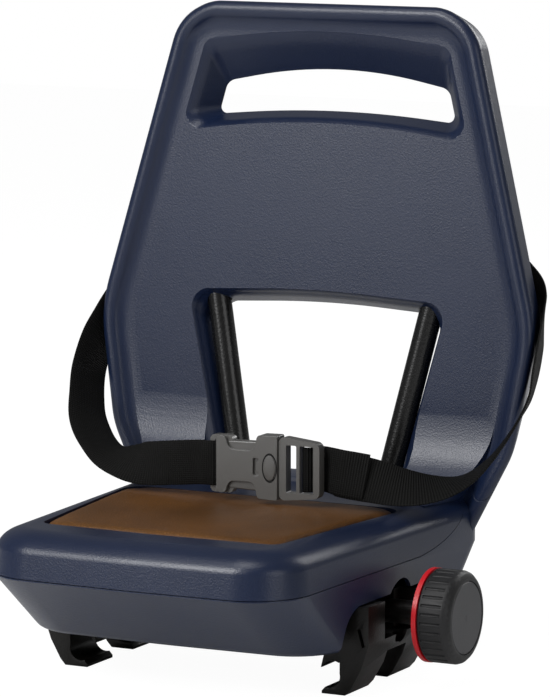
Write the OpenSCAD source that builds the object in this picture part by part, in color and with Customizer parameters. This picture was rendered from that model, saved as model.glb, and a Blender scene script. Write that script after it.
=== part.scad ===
// Rear child bike seat: a two-shell moulded seat with a leather-look pad, a steel back frame,
// a lap belt with a side-release buckle and a rail clamp worked by a knob.
// Origin: middle of the clamp base's flat underside. X to the child's left, Y to the rear, Z up.

/* [Seat] */
// Height of the seat top above the underside of the clamp base
seat_top_z = 85.4; // [80:0.1:92]
// Height of the seam between the upper and the lower shell
seam_z = 56.2; // [52:0.1:60]
// Height of the tub's underside
tub_bottom_z = 11.5; // [10:0.1:14]
// How far the seam's front edge lies ahead of the clamp's middle
seat_front = 151; // [145:1:158]
// How far the tub's bottom edge lies ahead of the clamp's middle
tub_front = 94; // [90:1:100]
// Width of the seat at its front corners, on the seam
seat_front_w = 217; // [210:1:224]
// Width of the seat at its rear corners, on the seam
seat_rear_w = 250; // [244:1:254]
// Radius of the seat's front corners, seen from above
seat_corner_r = 40; // [34:1:46]
// Wall thickness of both shells
wall = 3; // [2.4:0.1:3.4]
// Gap of the visible seam between the shells
seam_gap = 0.5; // [0.3:0.1:0.6]
// Height of the join between tub and back cover
cover_z = 95; // [93:1:99]

/* [Backrest] */
// Where the backrest's front face meets the height of the seat top
back_y = 104; // [100:1:110]
// Lean of the backrest
back_lean = 4.8; // [4:0.1:6]
// Height of the backrest above the seat top, along its face
back_h = 322; // [316:1:330]
// Widest width of the backrest
back_w = 321; // [316:1:324]
// Height of the widest place above the seat top
back_wide_s = 108; // [104:1:114]
// Width of the backrest at its top corners
back_top_w = 217; // [210:1:222]
// Thickness of the backrest from its face to its rear
back_t = 30; // [28:0.5:33]
// How far the seam lies behind the face along the backrest's edge
back_seam_d = 20; // [18:0.5:22]
// How far each side of the backrest draws in from its front edge to its rear
back_draft = 7; // [4:0.5:9]
// How much narrower the backrest's foot is at its rear, as a share
back_foot_taper = 0.06; // [0:0.01:0.1]
// Height of the raised bead round the edge
bead_h = 6; // [4:0.5:7]

/* [Openings of the backrest] */
// Height of the handle recess's lower rim above the seat top
handle_s = 234; // [230:1:238]
// Height of the handle recess
handle_h = 59; // [56:1:62]
// Width of the handle recess at its lower rim
handle_w = 196; // [186:1:198]
// Width of the hand hole at its lower edge
handle_hole_w = 175; // [168:1:180]
// Height of the hand hole
handle_hole_h = 24; // [20:1:28]
// Height of the lower opening's top edge above the seat top
window_top_s = 121; // [118:1:126]
// Width of the lower opening at its top
window_top_w = 186; // [180:1:190]
// Width of the lower opening at the seat
window_foot_w = 128; // [122:1:134]

/* [Pad] */
// Length of the pad
pad_l = 148; // [140:1:152]
// Width of the pad at its front
pad_front_w = 167; // [160:1:172]
// Taper of each pad side
pad_taper = 6.75; // [5:0.25:8]
// How far the pad's front lies ahead of the clamp's middle
pad_front = 108; // [104:1:112]
// Thickness of the pad
pad_t = 6; // [5:0.5:7]
// Gap round the pad
pad_gap = 0.8; // [0.5:0.1:1.2]

/* [Back frame] */
// Outer diameter of the frame tubes
tube_d = 16; // [14:0.5:17]
// Wall of the frame tubes
tube_wall = 1.5; // [1:0.1:2]
// Distance from the middle to each tube at the level of the clamp
tube_foot_x = 43.6; // [42:0.2:45]
// Height of the tubes' level feet
tube_foot_z = 36; // [35:0.5:37]
// Bend radius of the tubes
tube_bend_r = 36; // [32:1:40]

/* [Clamp] */
// Distance of each carrier rail from the middle
rail_x = 90; // [89:0.5:91]
// Diameter of the carrier rail that the jaws hold
rail_d = 16; // [14:0.5:16]
// Length of each hook along the rail
hook_l = 34; // [30:1:36]
// Distance between the middles of a jaw's two hooks
hook_pitch = 62; // [60:1:66]
// Depth of the hooks' soles below the clamp base
hook_drop = 20; // [19:0.5:21]
// Height of the jaws above the clamp base's underside
jaw_top_z = 38; // [37:0.5:39]
// Half width of the clamp base
base_half_w = 62; // [58:1:64]
// How far the knob draws the movable jaw inwards
jaw_travel = 14; // [10:1:14]
// Height of the spindle above the clamp base's underside
spindle_z = 27; // [26:0.5:28]
// Diameter of the spindle
spindle_d = 10; // [8:0.5:11]
// Diameter of the guide rods
rod_d = 10; // [8:0.5:11]
// Running clearance of spindle and rods, on the radius
run_gap = 0.05; // [0.02:0.01:0.08]

/* [Knob] */
// Diameter of the knob
knob_d = 60; // [56:1:64]
// Length of the knob
knob_l = 22; // [20:1:24]
// Where the knob's collar starts, from the middle
knob_x = 139; // [137:0.5:141]
// Number of grip grooves
grip_n = 32; // [24:1:40]
// Diameter of the cap
cap_d = 47; // [42:1:50]

/* [Belt] */
// Width of the webbing
belt_w = 30; // [26:1:32]
// Thickness of the webbing
belt_t = 1.8; // [1.4:0.1:2.2]
// Length of the buckle's socket
socket_l = 48; // [46:1:52]
// Height of the buckle
buckle_h = 40; // [36:1:42]
// Thickness of the buckle
buckle_t = 11; // [10:0.5:12]

/* [Hidden] */
$fn = 64;

navy = [0.13, 0.16, 0.27];
dark = [0.16, 0.16, 0.17];
steel = [0.72, 0.73, 0.75];
leather = [0.35, 0.23, 0.16];

eps = 0.01;
fit_gap = 0.3;
press_gap = 0.05;
corner_n = 4;

// Point between a and b
function mix(a, b, t) = a + (b - a) * t;

// Tangent arc at corner q between p and r, with n steps
function corner(p, q, r, rad, n) =
    let(u = (p - q) / norm(p - q),
        v = (r - q) / norm(r - q),
        half = acos(max(-1, min(1, u * v))) / 2,
        reach = rad / tan(half),
        mid = q + (u + v) / norm(u + v) * rad / sin(half),
        a = q + u * reach - mid,
        b = q + v * reach - mid,
        sweep = 180 - 2 * half)
    [for (i = [0:n])
        mid + (a * sin(sweep * (1 - i / n)) + b * sin(sweep * i / n)) / sin(sweep)];

// Closed outline with every corner rounded: pts are corners, rads their radii
function rounded(pts, rads, n = corner_n) =
    let(m = len(pts))
    [for (i = [0:m - 1])
        each corner(pts[(i + m - 1) % m], pts[i], pts[(i + 1) % m], rads[i], n)];

// A right half, from the bottom up, with its mirror image
function both(half) = concat(half, [for (i = [len(half) - 1:-1:0]) [-half[i][0], half[i][1]]]);
function both_same(vals) = concat(vals, [for (i = [len(vals) - 1:-1:0]) vals[i]]);

// Outline moved inwards by d
function inset(pts, d) =
    let(m = len(pts))
    [for (i = [0:m - 1])
        let(e = pts[(i + 1) % m] - pts[(i + m - 1) % m],
            k = norm(e))
        pts[i] + [-e[1], e[0]] / k * d];

// Solid through rings of equal length, closed by flat ends
module loft(rings) {
    m = len(rings[0]);
    k = len(rings);
    points = [for (ring = rings) each ring];
    sides = [for (j = [0:k - 2], i = [0:m - 1])
        let(a = j * m + i,
            b = j * m + (i + 1) % m)
        each [[a, b + m, b], [a, a + m, b + m]]];
    first = [for (i = [0:m - 1]) i];
    last = [for (i = [m - 1:-1:0]) (k - 1) * m + i];
    polyhedron(points, concat([first], sides, [last]), convexity = 8);
}

// Places a child drawn in backrest axes: X across, Y behind the face, Z up the face
module on_back() {
    translate([0, back_y, seat_top_z]) rotate([-back_lean, 0, 0]) children();
}

// Backrest

// The outline of the backrest in X and Z of its own axes
back_half = [[113.4, -46], [back_w / 2 - 9.5, 30], [back_w / 2 + 3, back_wide_s],
    [back_top_w / 2 - 0.5, back_h - 2.5]];
back_rads = [20, 62, 95, 36];
back_outline = rounded(concat(both(back_half)), both_same(back_rads));

// The arch of the top edge, as a lift that fades out at the corners
function arched(p) =
    p[1] < back_h - 30 ? p : [p[0], p[1] + 4 * max(0, 1 - pow(p[0] / 95, 2))];

// Inset and depth of the section's points from the rear to the face
bead_r = 6.5;
rear_r = 11;
bead_c = bead_r - bead_h;
back_section = concat(
    [[32, back_t], [rear_r + 3, back_t - 0.6]],
    [for (a = [60, 25]) [rear_r * (1 - cos(a)) + 0.5, back_t - rear_r + rear_r * sin(a) - 0.6]],
    [[0, back_t - rear_r - 2], [0, bead_c]],
    [for (a = [30:30:120]) [bead_r * (1 - cos(a)), bead_c - bead_r * sin(a)]],
    [[bead_r + 7, -1.4], [bead_r + 17, 0]]);

// The same for the space inside, plainer
back_section_in = [[34, back_t - wall], [rear_r + 4, back_t - wall - 0.8], [wall + 2, back_t - rear_r + 1],
    [wall, back_t - rear_r - 3], [wall, bead_c], [wall + 1, bead_c - 2.5], [bead_r + 1, wall - bead_h],
    [bead_r + 9, wall - 1], [bead_r + 19, wall]];

// The outline at depth d, inset by i, with the draft of the sides
function back_ring(i, d) =
    let(t = (d + bead_h) / (back_t + bead_h))
    [for (p = inset(back_outline, i + back_draft * t))
        let(q = arched(p))
        [q[0] * (1 - back_foot_taper * t * max(0, min(1.3, 1.2 - q[1] / back_wide_s))), d, q[1]]];

module back_body(section) {
    on_back() loft([for (k = section) back_ring(k[0], k[1])]);
}

// Recess and hole of the handle, from ahead of the face to behind the rear: t runs from rim to hole
module handle_cut(g) {
    function ring(d, t, out) =
        let(foot = mix(handle_w, handle_hole_w, t) / 2 + out,
            head = mix(handle_w - 24, handle_hole_w - 12, t) / 2 + out,
            s0 = mix(handle_s, handle_s + 10, t) - out,
            s1 = mix(handle_s + handle_h, handle_s + 10 + handle_hole_h, t) + out,
            r = mix(13, 9, t),
            lift = 0.8 + 10 * t,
            sill = 0.6 + 2.4 * t)
        [for (p = rounded([[0, s0 - g + sill], [foot + g, s0 - g], [head + g, s1 + g], [0, s1 + g + lift],
            [-head - g, s1 + g], [-foot - g, s0 - g]], [4100 / sill, r + g, r + g, 3600 / lift, r + g, r + g]))
            [p[0], d, p[1]]];
    on_back() loft([ring(back_t + 8, 1, 10), ring(back_seam_d, 1, 0), ring(4, 0.2, 0), ring(0.6, 0, 0.9),
        ring(-bead_h - 6, 0, 6)]);
}

// Window between the legs of the backrest
window_foot_s = 4;
window_r = 13;
module window_cut(g) {
    lift = 5;
    function ring(d, out) =
        let(foot = window_foot_w / 2 + out + g,
            head = window_top_w / 2 + out + g,
            s0 = window_foot_s - out * 0.2 - g,
            s1 = window_top_s + out + g,
            r = window_r + g)
        [for (p = rounded([[foot, s0], [head, s1], [0, s1 + lift], [-head, s1], [-foot, s0]],
            [r, r, 3600 / lift, r, r])) [p[0], d, p[1]]];
    on_back() loft([
        ring(back_t + 8, -5.5),
        ring(back_seam_d - 1, -5),
        ring(4, 0),
        ring(1.5, 0.8),
        ring(-0.5, 3),
        ring(-bead_h - 34, 6)]);
}

// Seat

tub_rear = 90;
seam_rear = back_y + 18;
top_rear = back_y + 24;
tub_w = 236;

// Plan outline of the seat at height z, for a skin w inside
function seat_plan(front, rear, front_w, rear_w, r, w) =
    inset(rounded([[0, -front - 3], [front_w / 2, -front], [rear_w / 2, rear], [-rear_w / 2, rear],
        [-front_w / 2, -front]], [400, r, 26, 26, r]), w);

function tub_ring(z, w) =
    let(t = (z - tub_bottom_z) / (seam_z - tub_bottom_z),
        flat = seat_plan(mix(tub_front, seat_front, t), mix(tub_rear, seam_rear, t),
            mix(212, seat_front_w, t), mix(tub_w, seat_rear_w, t), mix(36, seat_corner_r, t), w))
    [for (p = flat) [p[0], p[1], z]];

shoulder_r = 13;
function top_ring(z, out, w) =
    let(t = (z - seam_z) / (seat_top_z - seam_z),
        flat = seat_plan(seat_front - 5 * t, mix(seam_rear, top_rear, t), seat_front_w - 7 * t,
            seat_rear_w - 5 * t, seat_corner_r - 4 * t, w + out))
    [for (p = flat) [p[0], p[1], z]];

module seat_body(w, steps) {
    edge = 4;
    loft(concat(
        [tub_ring(tub_bottom_z + w, w + edge * 0.8), tub_ring(tub_bottom_z + w + edge * 0.9, w),
            tub_ring(seam_z, w)],
        [for (i = [0:steps]) let(a = 90 * i / steps)
            top_ring(seat_top_z - shoulder_r + (shoulder_r - w) * sin(a),
                shoulder_r * 1.5 * (1 - cos(a)), w)]));
}

// Concave blend from the seat top up to the face of the backrest
blend_r = 42;
module blend(w) {
    n = 6;
    arc = [for (i = [0:n]) let(a = -90 + (90 - back_lean) * i / n)
        [back_y - blend_r + 3.7 + (blend_r + w) * cos(a),
            seat_top_z - 0.25 + blend_r + (blend_r + w) * sin(a)]];
    intersection() {
        rotate([90, 0, 90]) translate([0, 0, -200]) linear_extrude(400)
            polygon(concat([[back_y - blend_r, seat_top_z - 12]], arc, [[back_y + 12, seat_top_z + blend_r - 4],
                [back_y + 12, seat_top_z - 12]]));
        on_back() loft([back_ring(w + 1, back_t - 2), [for (p = back_ring(w + 5, -2)) [p[0], -70, p[2]]]]);
    }
}

// The pad's bed in the seat top, grown by g
pad_rear_w = pad_front_w + 2 * pad_l * tan(pad_taper);
function pad_outline(g) = rounded([[0, -pad_front - 3 - g], [pad_front_w / 2 + g, -pad_front - g],
    [pad_rear_w / 2 + g, pad_l - pad_front + g], [-pad_rear_w / 2 - g, pad_l - pad_front + g],
    [-pad_front_w / 2 - g, -pad_front - g]], [500, 9, 14, 14, 9]);
pad_sink = pad_t - 0.8;

module pad_bed(g, deep) {
    translate([0, 0, seat_top_z - pad_sink - deep]) linear_extrude(40) polygon(pad_outline(g));
}

// Side view of the seam: the front shell lies ahead of and above this line, moved by half the gap
function seam_line(side) =
    let(h = side * seam_gap / 2,
        lean = tan(back_lean),
        foot = [back_y + back_seam_d - 2, 0])
    concat([[-300, seam_z + h], [26, seam_z + 2 + h]],
        [for (i = [1:7]) let(t = i / 8,
            a = [26, seam_z + 2],
            b = [back_y - 6, seam_z + 8],
            c = [back_y + 6, seat_top_z + 2],
            d = [back_y + back_seam_d + 8 * lean, seat_top_z + 62],
            q = pow(1 - t, 3) * a + 3 * pow(1 - t, 2) * t * b + 3 * (1 - t) * t * t * c + t * t * t * d)
            q + [-h * t, h * (1 - t)]],
        [[back_y + back_seam_d + 62 * lean - h, seat_top_z + 62],
            [back_y + back_seam_d + 400 * lean - h, seat_top_z + 400]]);

module front_side() {
    rotate([90, 0, 90]) translate([0, 0, -200]) linear_extrude(400)
        polygon(concat(seam_line(1), [[-300, seat_top_z + 400]]));
}

module rear_side() {
    rotate([90, 0, 90]) translate([0, 0, -200]) linear_extrude(400)
        polygon(concat(seam_line(-1), [[300, seat_top_z + 400], [300, -60], [-300, -60]]));
}

// Way for the jaws through the tub's floor and flanks
jaw_way_half = hook_pitch / 2 + hook_l / 2 + 3;
jaw_way_front = 66;
arch_r = 15;
module jaw_ways() {
    translate([-150, -jaw_way_half, -1]) cube([300, 2 * jaw_way_half, tub_bottom_z + wall + 2.5]);
    for (side = [-1, 1])
        mirror([side < 0 ? 1 : 0, 0, 0])
            rotate([90, 0, 90]) translate([0, 0, 80]) linear_extrude(80)
                polygon([[-jaw_way_front - 3, 0], [-jaw_way_front + 2, 26], [-jaw_way_front + 8, 35],
                    [-jaw_way_front + 16, jaw_top_z + 1], [jaw_way_half - 4, jaw_top_z + 3],
                    [jaw_way_half, jaw_top_z - 2], [jaw_way_half + 3, 0]]);
    translate([0, 4, spindle_z + 6]) rotate([0, 90, 0]) cylinder(h = 160, r = arch_r, $fn = 32);
}

// Screw posts between the shells, as X and height up the face
post_r = 5;
post_hole_r = 1.7;
back_posts = [[118, 215], [135, 150], [122, 75], [60, 205], [60, 146]];
// Those of them that take a screw from the back cover; the others only steady it
screwed = [0, 1, 2, 4];

module back_posts_at(which) {
    for (side = [-1, 1], i = which) let(p = back_posts[i])
        on_back() translate([side * p[0], 0, p[1]]) rotate([-90, 0, 0]) children();
}

// A screw post with moulding draft, from depth a, where it is wide, to depth b
module post(a, b) {
    hull() {
        translate([0, 0, min(a, b)]) cylinder(h = eps, r = a < b ? post_r + 0.6 : post_r, $fn = 14);
        translate([0, 0, max(a, b) - eps]) cylinder(h = eps, r = a < b ? post_r : post_r + 0.6, $fn = 14);
    }
}

// Long screw posts of the seat, from the tub's floor to the seat top
seat_posts = [[84, -78, seat_top_z - pad_sink - 1.5], [98, 70, seat_top_z - 1.5]];
module seat_posts_at() {
    for (side = [-1, 1], p = seat_posts) translate([side * p[0], p[1], 0]) children();
}

// Where the clamp base is screwed to the tub's floor
base_half_l = 66;
base_screw_at = [for (x = [-45, 45], y = [-base_half_l + 8, base_half_l - 8]) [x, y]];
base_screw_r = 2.4;
base_boss_h = 15;

// The saddles that hold the tubes' upper ends
saddle_x = 89;
saddle_s = 165;
saddle_d = 10;
saddle_ear = 17;
module saddle_posts_at() {
    for (side = [-1, 1], e = [-1, 1])
        on_back() translate([side * saddle_x + e * saddle_ear, 0, saddle_s]) rotate([-90, 0, 0]) children();
}

module shell_form() {
    difference() {
        union() {
            back_body(back_section);
            seat_body(0, 5);
            blend(0);
        }
        handle_cut(0);
        window_cut(0);
        pad_bed(pad_gap, 0);
    }
}

module shell_hollow() {
    difference() {
        union() {
            back_body(back_section_in);
            seat_body(wall, 2);
            blend(wall);
        }
        handle_cut(wall);
        window_cut(wall);
        pad_bed(pad_gap + wall, wall);
    }
}

tube_lean = 7.24;
tube_splay = 12.06;
tube_top = 268;
tube_corner_y = 105.1;

// Follows the tube's own bend plane on the given side
module tube_frame(side) {
    translate([side * tube_foot_x, tube_corner_y, tube_foot_z]) rotate([0, side * tube_splay, 0]) children();
}

// Straight leg only, for what the tube passes through
module tube_leg(side, r, n) {
    tube_frame(side) rotate([-tube_lean, 0, 0]) translate([0, 0, tube_bend_r])
        cylinder(h = tube_top + fit_gap - tube_bend_r, r = r, $fn = n);
}

module front_shell() color(navy) {
    difference() {
        union() {
            intersection() {
                difference() {
                    shell_form();
                    shell_hollow();
                }
                front_side();
            }
            back_posts_at([0:4]) post(wall - 1, back_seam_d - 1);
            saddle_posts_at() post(wall - 1, saddle_d);
            for (side = [-1, 1], p = seat_posts) translate([side * p[0], p[1], seam_z + 3])
                cylinder(h = p[2] - seam_z - 3, r = post_r + 1, $fn = 14);
        }
        saddle_posts_at() translate([0, 0, wall + 2]) cylinder(h = back_t, r = post_hole_r, $fn = 10);
        seat_posts_at() translate([0, 0, seam_z - 2]) cylinder(h = 14, r = post_hole_r + 0.5, $fn = 10);
        back_posts_at([0:4]) translate([0, 0, 8]) cylinder(h = back_t, r = post_hole_r, $fn = 10);
        for (side = [-1, 1]) tube_leg(side, tube_d / 2 + fit_gap, 24);
    }
}

// Everything behind and below the seam, before it is parted into tub and back cover
module rear_form() {
    difference() {
        union() {
            intersection() {
                difference() {
                    shell_form();
                    shell_hollow();
                }
                rear_side();
            }
            back_posts_at(screwed) post(back_t - 1, back_seam_d - 1 + fit_gap);
            seat_posts_at() translate([0, 0, tub_bottom_z + 1])
                cylinder(h = seam_z + 2 - fit_gap - tub_bottom_z, r = post_r + 1, $fn = 14);
            for (p = base_screw_at) translate([p[0], p[1], tub_bottom_z + 1])
                cylinder(h = base_boss_h, r = post_r + 1.5, $fn = 14);
        }
        for (p = base_screw_at) translate([p[0], p[1], tub_bottom_z - 1])
            cylinder(h = base_boss_h + 4, r = base_screw_r + fit_gap, $fn = 14);
        seat_posts_at() translate([0, 0, tub_bottom_z - 1]) cylinder(h = 80, r = post_hole_r + 0.8, $fn = 12);
        seat_posts_at() translate([0, 0, tub_bottom_z - 1]) cylinder(h = 6, r = 4.2, $fn = 16);
        back_posts_at(screwed) translate([0, 0, 8]) cylinder(h = back_t, r = post_hole_r + 0.3, $fn = 10);
        back_posts_at(screwed) translate([0, 0, back_t - 4]) cylinder(h = 10, r = 3.6, $fn = 16);
        for (side = [-1, 1]) {
            tube_leg(side, tube_d / 2 + fit_gap, 24);
            anchor_frame(side) translate([0, 0, -back_t / 3])
                cylinder(h = back_t, r = anchor_screw_r + press_gap);
        }
        jaw_ways();
    }
}

module level_box(z0, z1) {
    translate([-200, -200, z0]) cube([400, 400, z1 - z0]);
}

module tub_shell() color(navy) {
    intersection() {
        rear_form();
        level_box(0, cover_z - fit_gap / 2);
    }
}

module back_cover() color(navy) {
    intersection() {
        rear_form();
        level_box(cover_z + fit_gap / 2, seat_top_z + back_h + 40);
    }
}

module seat_pad() {
    bed = seat_top_z - pad_sink + fit_gap;
    function ring(z, g) = [for (p = pad_outline(g)) [p[0], p[1], z]];
    color(leather) loft([ring(bed, -0.4), ring(seat_top_z - 0.2, 0), ring(seat_top_z + 0.5, -1),
        ring(seat_top_z + 0.8, -4)]);
}

// Ring section of a frame tube, thinned on both sides by slack
tube_foot_y = 20;
module tube_section(slack) {
    difference() {
        circle(r = tube_d / 2 - slack);
        circle(r = tube_d / 2 - tube_wall + slack);
    }
}

module frame_tube(side) color(dark) {
    turn = 90 - tube_lean;
    reach = tube_bend_r * tan(turn / 2);
    into = 0.3;
    tube_frame(side) {
        rotate([-tube_lean, 0, 0]) translate([0, 0, reach - into]) linear_extrude(tube_top - reach + into)
            tube_section(0);
        translate([0, -reach, tube_bend_r]) rotate([0, 90, 0]) rotate_extrude(angle = turn)
            translate([tube_bend_r, 0]) tube_section(0.02);
        translate([0, into - reach, 0]) rotate([90, 0, 0])
            linear_extrude(tube_corner_y - reach + into - tube_foot_y) tube_section(0);
    }
}

module tube_saddle(side) color(dark) {
    difference() {
        union() {
            on_back() translate([side * saddle_x - saddle_ear - 5, saddle_d + fit_gap, saddle_s - 8])
                cube([2 * saddle_ear + 10, 3, 16]);
            intersection() {
                tube_leg(side, tube_d / 2 + 3.4, 64);
                on_back() translate([side * saddle_x - 30, 0, saddle_s - 10]) cube([60, 60, 20]);
            }
        }
        tube_leg(side, tube_d / 2 + press_gap, 64);
        for (e = [-1, 1])
            on_back() translate([side * saddle_x + e * saddle_ear, 0, saddle_s]) rotate([-90, 0, 0])
                cylinder(h = 40, r = 1.8);
    }
}

// A round-headed screw along +Z: its head stands on the seat at z = 0
module screw(shank_r, shank_l, head_r, head_h) {
    translate([0, 0, -shank_l]) cylinder(h = shank_l + eps, r = shank_r);
    cylinder(h = head_h, r1 = head_r, r2 = head_r * 0.8);
}

module saddle_screws() color(steel) {
    saddle_posts_at() translate([0, 0, saddle_d + fit_gap + 3]) screw(1.5, 7.5, 3.1, 2);
}

module shell_screws() color(steel) {
    back_posts_at(screwed) translate([0, 0, back_t - 4]) screw(1.5, back_t - 4 - 9, 3.2, 2.2);
    seat_posts_at() translate([0, 0, tub_bottom_z + 5]) mirror([0, 0, 1]) screw(2, 50, 3.8, 2.6);
}

// Belt

// Bracket that holds one end of the belt on the rear of the backrest
anchor_x = 97;
anchor_s = 175;
anchor_a = 42;
anchor_t = 2;
anchor_slot = [5, belt_w + 2];
anchor_screw_r = 3;
module anchor_frame(side) {
    mirror([side < 0 ? 1 : 0, 0, 0]) on_back() translate([anchor_x, back_t, anchor_s]) rotate([0, anchor_a, 0])
        rotate([-90, 0, 0]) children();
}

module belt_anchor(side) color(steel) {
    anchor_frame(side) difference() {
        linear_extrude(anchor_t) difference() {
            union() {
                circle(r = 11);
                translate([0, -7]) square([8, 14]);
                translate([7, -belt_w / 2 - 4]) square([12, belt_w + 8]);
            }
            translate([10.5, -anchor_slot[1] / 2]) square(anchor_slot);
            circle(r = 3.2);
        }
    }
}

module anchor_screws() color(steel) {
    for (side = [-1, 1]) anchor_frame(side) translate([0, 0, anchor_t])
        screw(anchor_screw_r, anchor_t + wall, 5.5, 3);
}

// Catmull-Rom point between b and c
function smooth(a, b, c, d, t) = 0.5 * (2 * b + (c - a) * t + (2 * a - 5 * b + 4 * c - d) * t * t
    + (3 * b - a - 3 * c + d) * t * t * t);
function along(list, n) =
    let(m = len(list) - 1)
    [for (i = [0:m - 1], k = [0:n - 1])
        smooth(list[max(i - 1, 0)], list[i], list[i + 1], list[min(i + 2, m)], k / n), list[m]];

// Webbing through hand-set places, each with the direction of its width
module webbing(route, width, thick) {
    mids = along([for (r = route) r[0]], 3);
    ways = along([for (r = route) r[1]], 3);
    m = len(mids) - 1;
    loft([for (i = [0:m])
        let(t = mids[min(i + 1, m)] - mids[max(i - 1, 0)],
            w0 = ways[i] - t * (ways[i] * t) / (t * t),
            w = w0 / norm(w0) * width / 2,
            n = cross(t, w) / norm(cross(t, w)) * thick / 2)
        [mids[i] + w + n, mids[i] - w + n, mids[i] - w - n, mids[i] + w - n]]);
}

// The belt's mid-line from its bracket, past the backrest's edge, down and forward to the buckle
hang = [
    [[114, 148.5, 240.5], [0.67, 0, 0.74]], [[128, 148.3, 228.5], [0.64, 0, 0.76]],
    [[141, 146.5, 217], [0.6, -0.1, 0.8]], [[151.5, 141.5, 207], [0.45, -0.45, 0.75]],
    [[157.5, 132, 197], [0.32, -0.7, 0.63]], [[161, 119.5, 184.5], [0.28, -0.8, 0.5]]];
right_run = [
    [[163.5, 104.5, 167.5], [0.3, -0.87, 0.38]], [[164, 91, 151.5], [0.38, -0.88, 0.22]],
    [[158.5, 78, 134], [0.4, -0.9, 0.12]], [[150, 64, 117.5], [0.42, -0.9, 0.05]],
    [[139, 50, 106], [0.45, -0.88, -0.1]], [[124, 38, 101.5], [0.4, -0.82, -0.42]],
    [[106, 28, 102], [0.25, -0.65, -0.7]], [[86, 21, 106], [0.1, -0.42, -0.9]],
    [[68, 16.5, 109], [0, -0.12, -0.99]]];
left_run = [
    [[-163, 106, 170], [-0.3, -0.88, 0.35]], [[-160.5, 90, 152], [-0.28, -0.94, 0.18]],
    [[-153, 74, 136], [-0.2, -0.98, 0.02]], [[-144, 60, 124], [-0.2, -0.97, -0.08]],
    [[-131, 46, 114.5], [-0.17, -0.97, -0.1]], [[-115, 34, 107.5], [0.1, -0.9, -0.24]],
    [[-97, 25.5, 105], [0.2, -0.8, -0.56]], [[-78, 20, 105], [0.15, -0.4, -0.9]],
    [[-52, 16, 108], [0, -0.08, -1]]];
function flip(p) = [-p[0], p[1], p[2]];
buckle_at = [0, 13.2, 111];
socket_x = -25;
clip_l = 31.5;

// The webbing's last millimetres, level and straight towards the buckle
function straight_end(x, side) = [for (d = [7, 3.5, 0]) [[x + side * d, buckle_at[1] + 2, buckle_at[2] - 0.6],
    [0, 0, -1]]];

module belt_left() color(dark) {
    webbing(concat([for (r = hang) [flip(r[0]), flip(r[1])]], left_run, straight_end(socket_x - fit_gap, -1)),
        belt_w, belt_t);
}

module belt_right() color(dark) {
    end_x = socket_x + socket_l + clip_l + 2 * fit_gap;
    webbing(concat(hang, right_run, straight_end(end_x, 1)), belt_w, belt_t);
}

module buckle_frame() {
    translate(buckle_at) rotate([90, 0, 0]) children();
}

// A flat shape in X and Z, as thick as t, about the buckle's middle plane
module slab(t) {
    translate([0, 0, -t / 2]) linear_extrude(t) children();
}

module round_rect(x0, x1, h, r) {
    translate([x0 + r, -h / 2]) square([x1 - x0 - 2 * r, h]);
    translate([x0, -h / 2 + r]) square([x1 - x0, h - 2 * r]);
    for (x = [x0 + r, x1 - r], y = [-h / 2 + r, h / 2 - r]) translate([x, y]) circle(r = r);
}

finger_r = 20;
prong_y = 12;
module buckle_socket() color(dark) {
    x1 = socket_x + socket_l;
    buckle_frame() difference() {
        union() {
            slab(buckle_t) difference() {
                round_rect(socket_x + 9, x1, buckle_h, 4);
                for (e = [-1, 1]) translate([socket_x + 28, e * (buckle_h / 2 + finger_r - 7)])
                    circle(r = finger_r);
            }
            slab(6) round_rect(socket_x, socket_x + 16, buckle_h + 2, 4);
        }
        slab(20) translate([socket_x + 3.5, -belt_w / 2 - 1]) square([4.5, belt_w + 2]);
        translate([socket_x + 20, -buckle_h / 2 + 8, -2.6]) cube([socket_l, buckle_h - 16, 5.2]);
        translate([socket_x + 27, 0, -buckle_t]) cylinder(h = 2 * buckle_t, r = 3);
    }
}

module buckle_clip() color(dark) {
    x0 = socket_x + socket_l + fit_gap;
    buckle_frame() difference() {
        union() {
            slab(buckle_t - 2) round_rect(x0, x0 + clip_l, buckle_h, 5);
            slab(4.4) translate([x0 - 22, -prong_y + 0.6]) square([24, 5]);
            slab(4.4) translate([x0 - 22, prong_y - 5.6]) square([24, 5]);
            slab(4.4) translate([x0 - 10, -2.5]) square([12, 5]);
        }
        slab(20) translate([x0 + 7.5, -belt_w / 2 - 2]) square([5, belt_w + 4]);
        slab(20) translate([x0 + 14.7, -belt_w / 2 - 2]) square([11.3, belt_w + 4]);
    }
}

// Clamp

rail_r = rail_d / 2;
base_top_z = 48;
block_half_w = base_half_w - 4;
block_half_l = 46;
rod_z = 18;
rod_y = hook_pitch / 2;
rod_x0 = 20;
nut_x = 40;
nut_l = 10;
nut_w = 18;
nut_gap = 0.2;
jaw_in = rail_x - 6;
jaw_out = rail_x + 28;
web_in = rail_x + rail_r;
rod_x1 = jaw_out - jaw_travel - 4;
spindle_x0 = jaw_travel + 6;

// The underside lies flat on the carrier behind this Y and rises by base_rise to the front edge
base_rise_y = 8;
base_rise = 8.8;
function screw_seat(y) = y < 0 ? 9.6 : 5;

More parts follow.
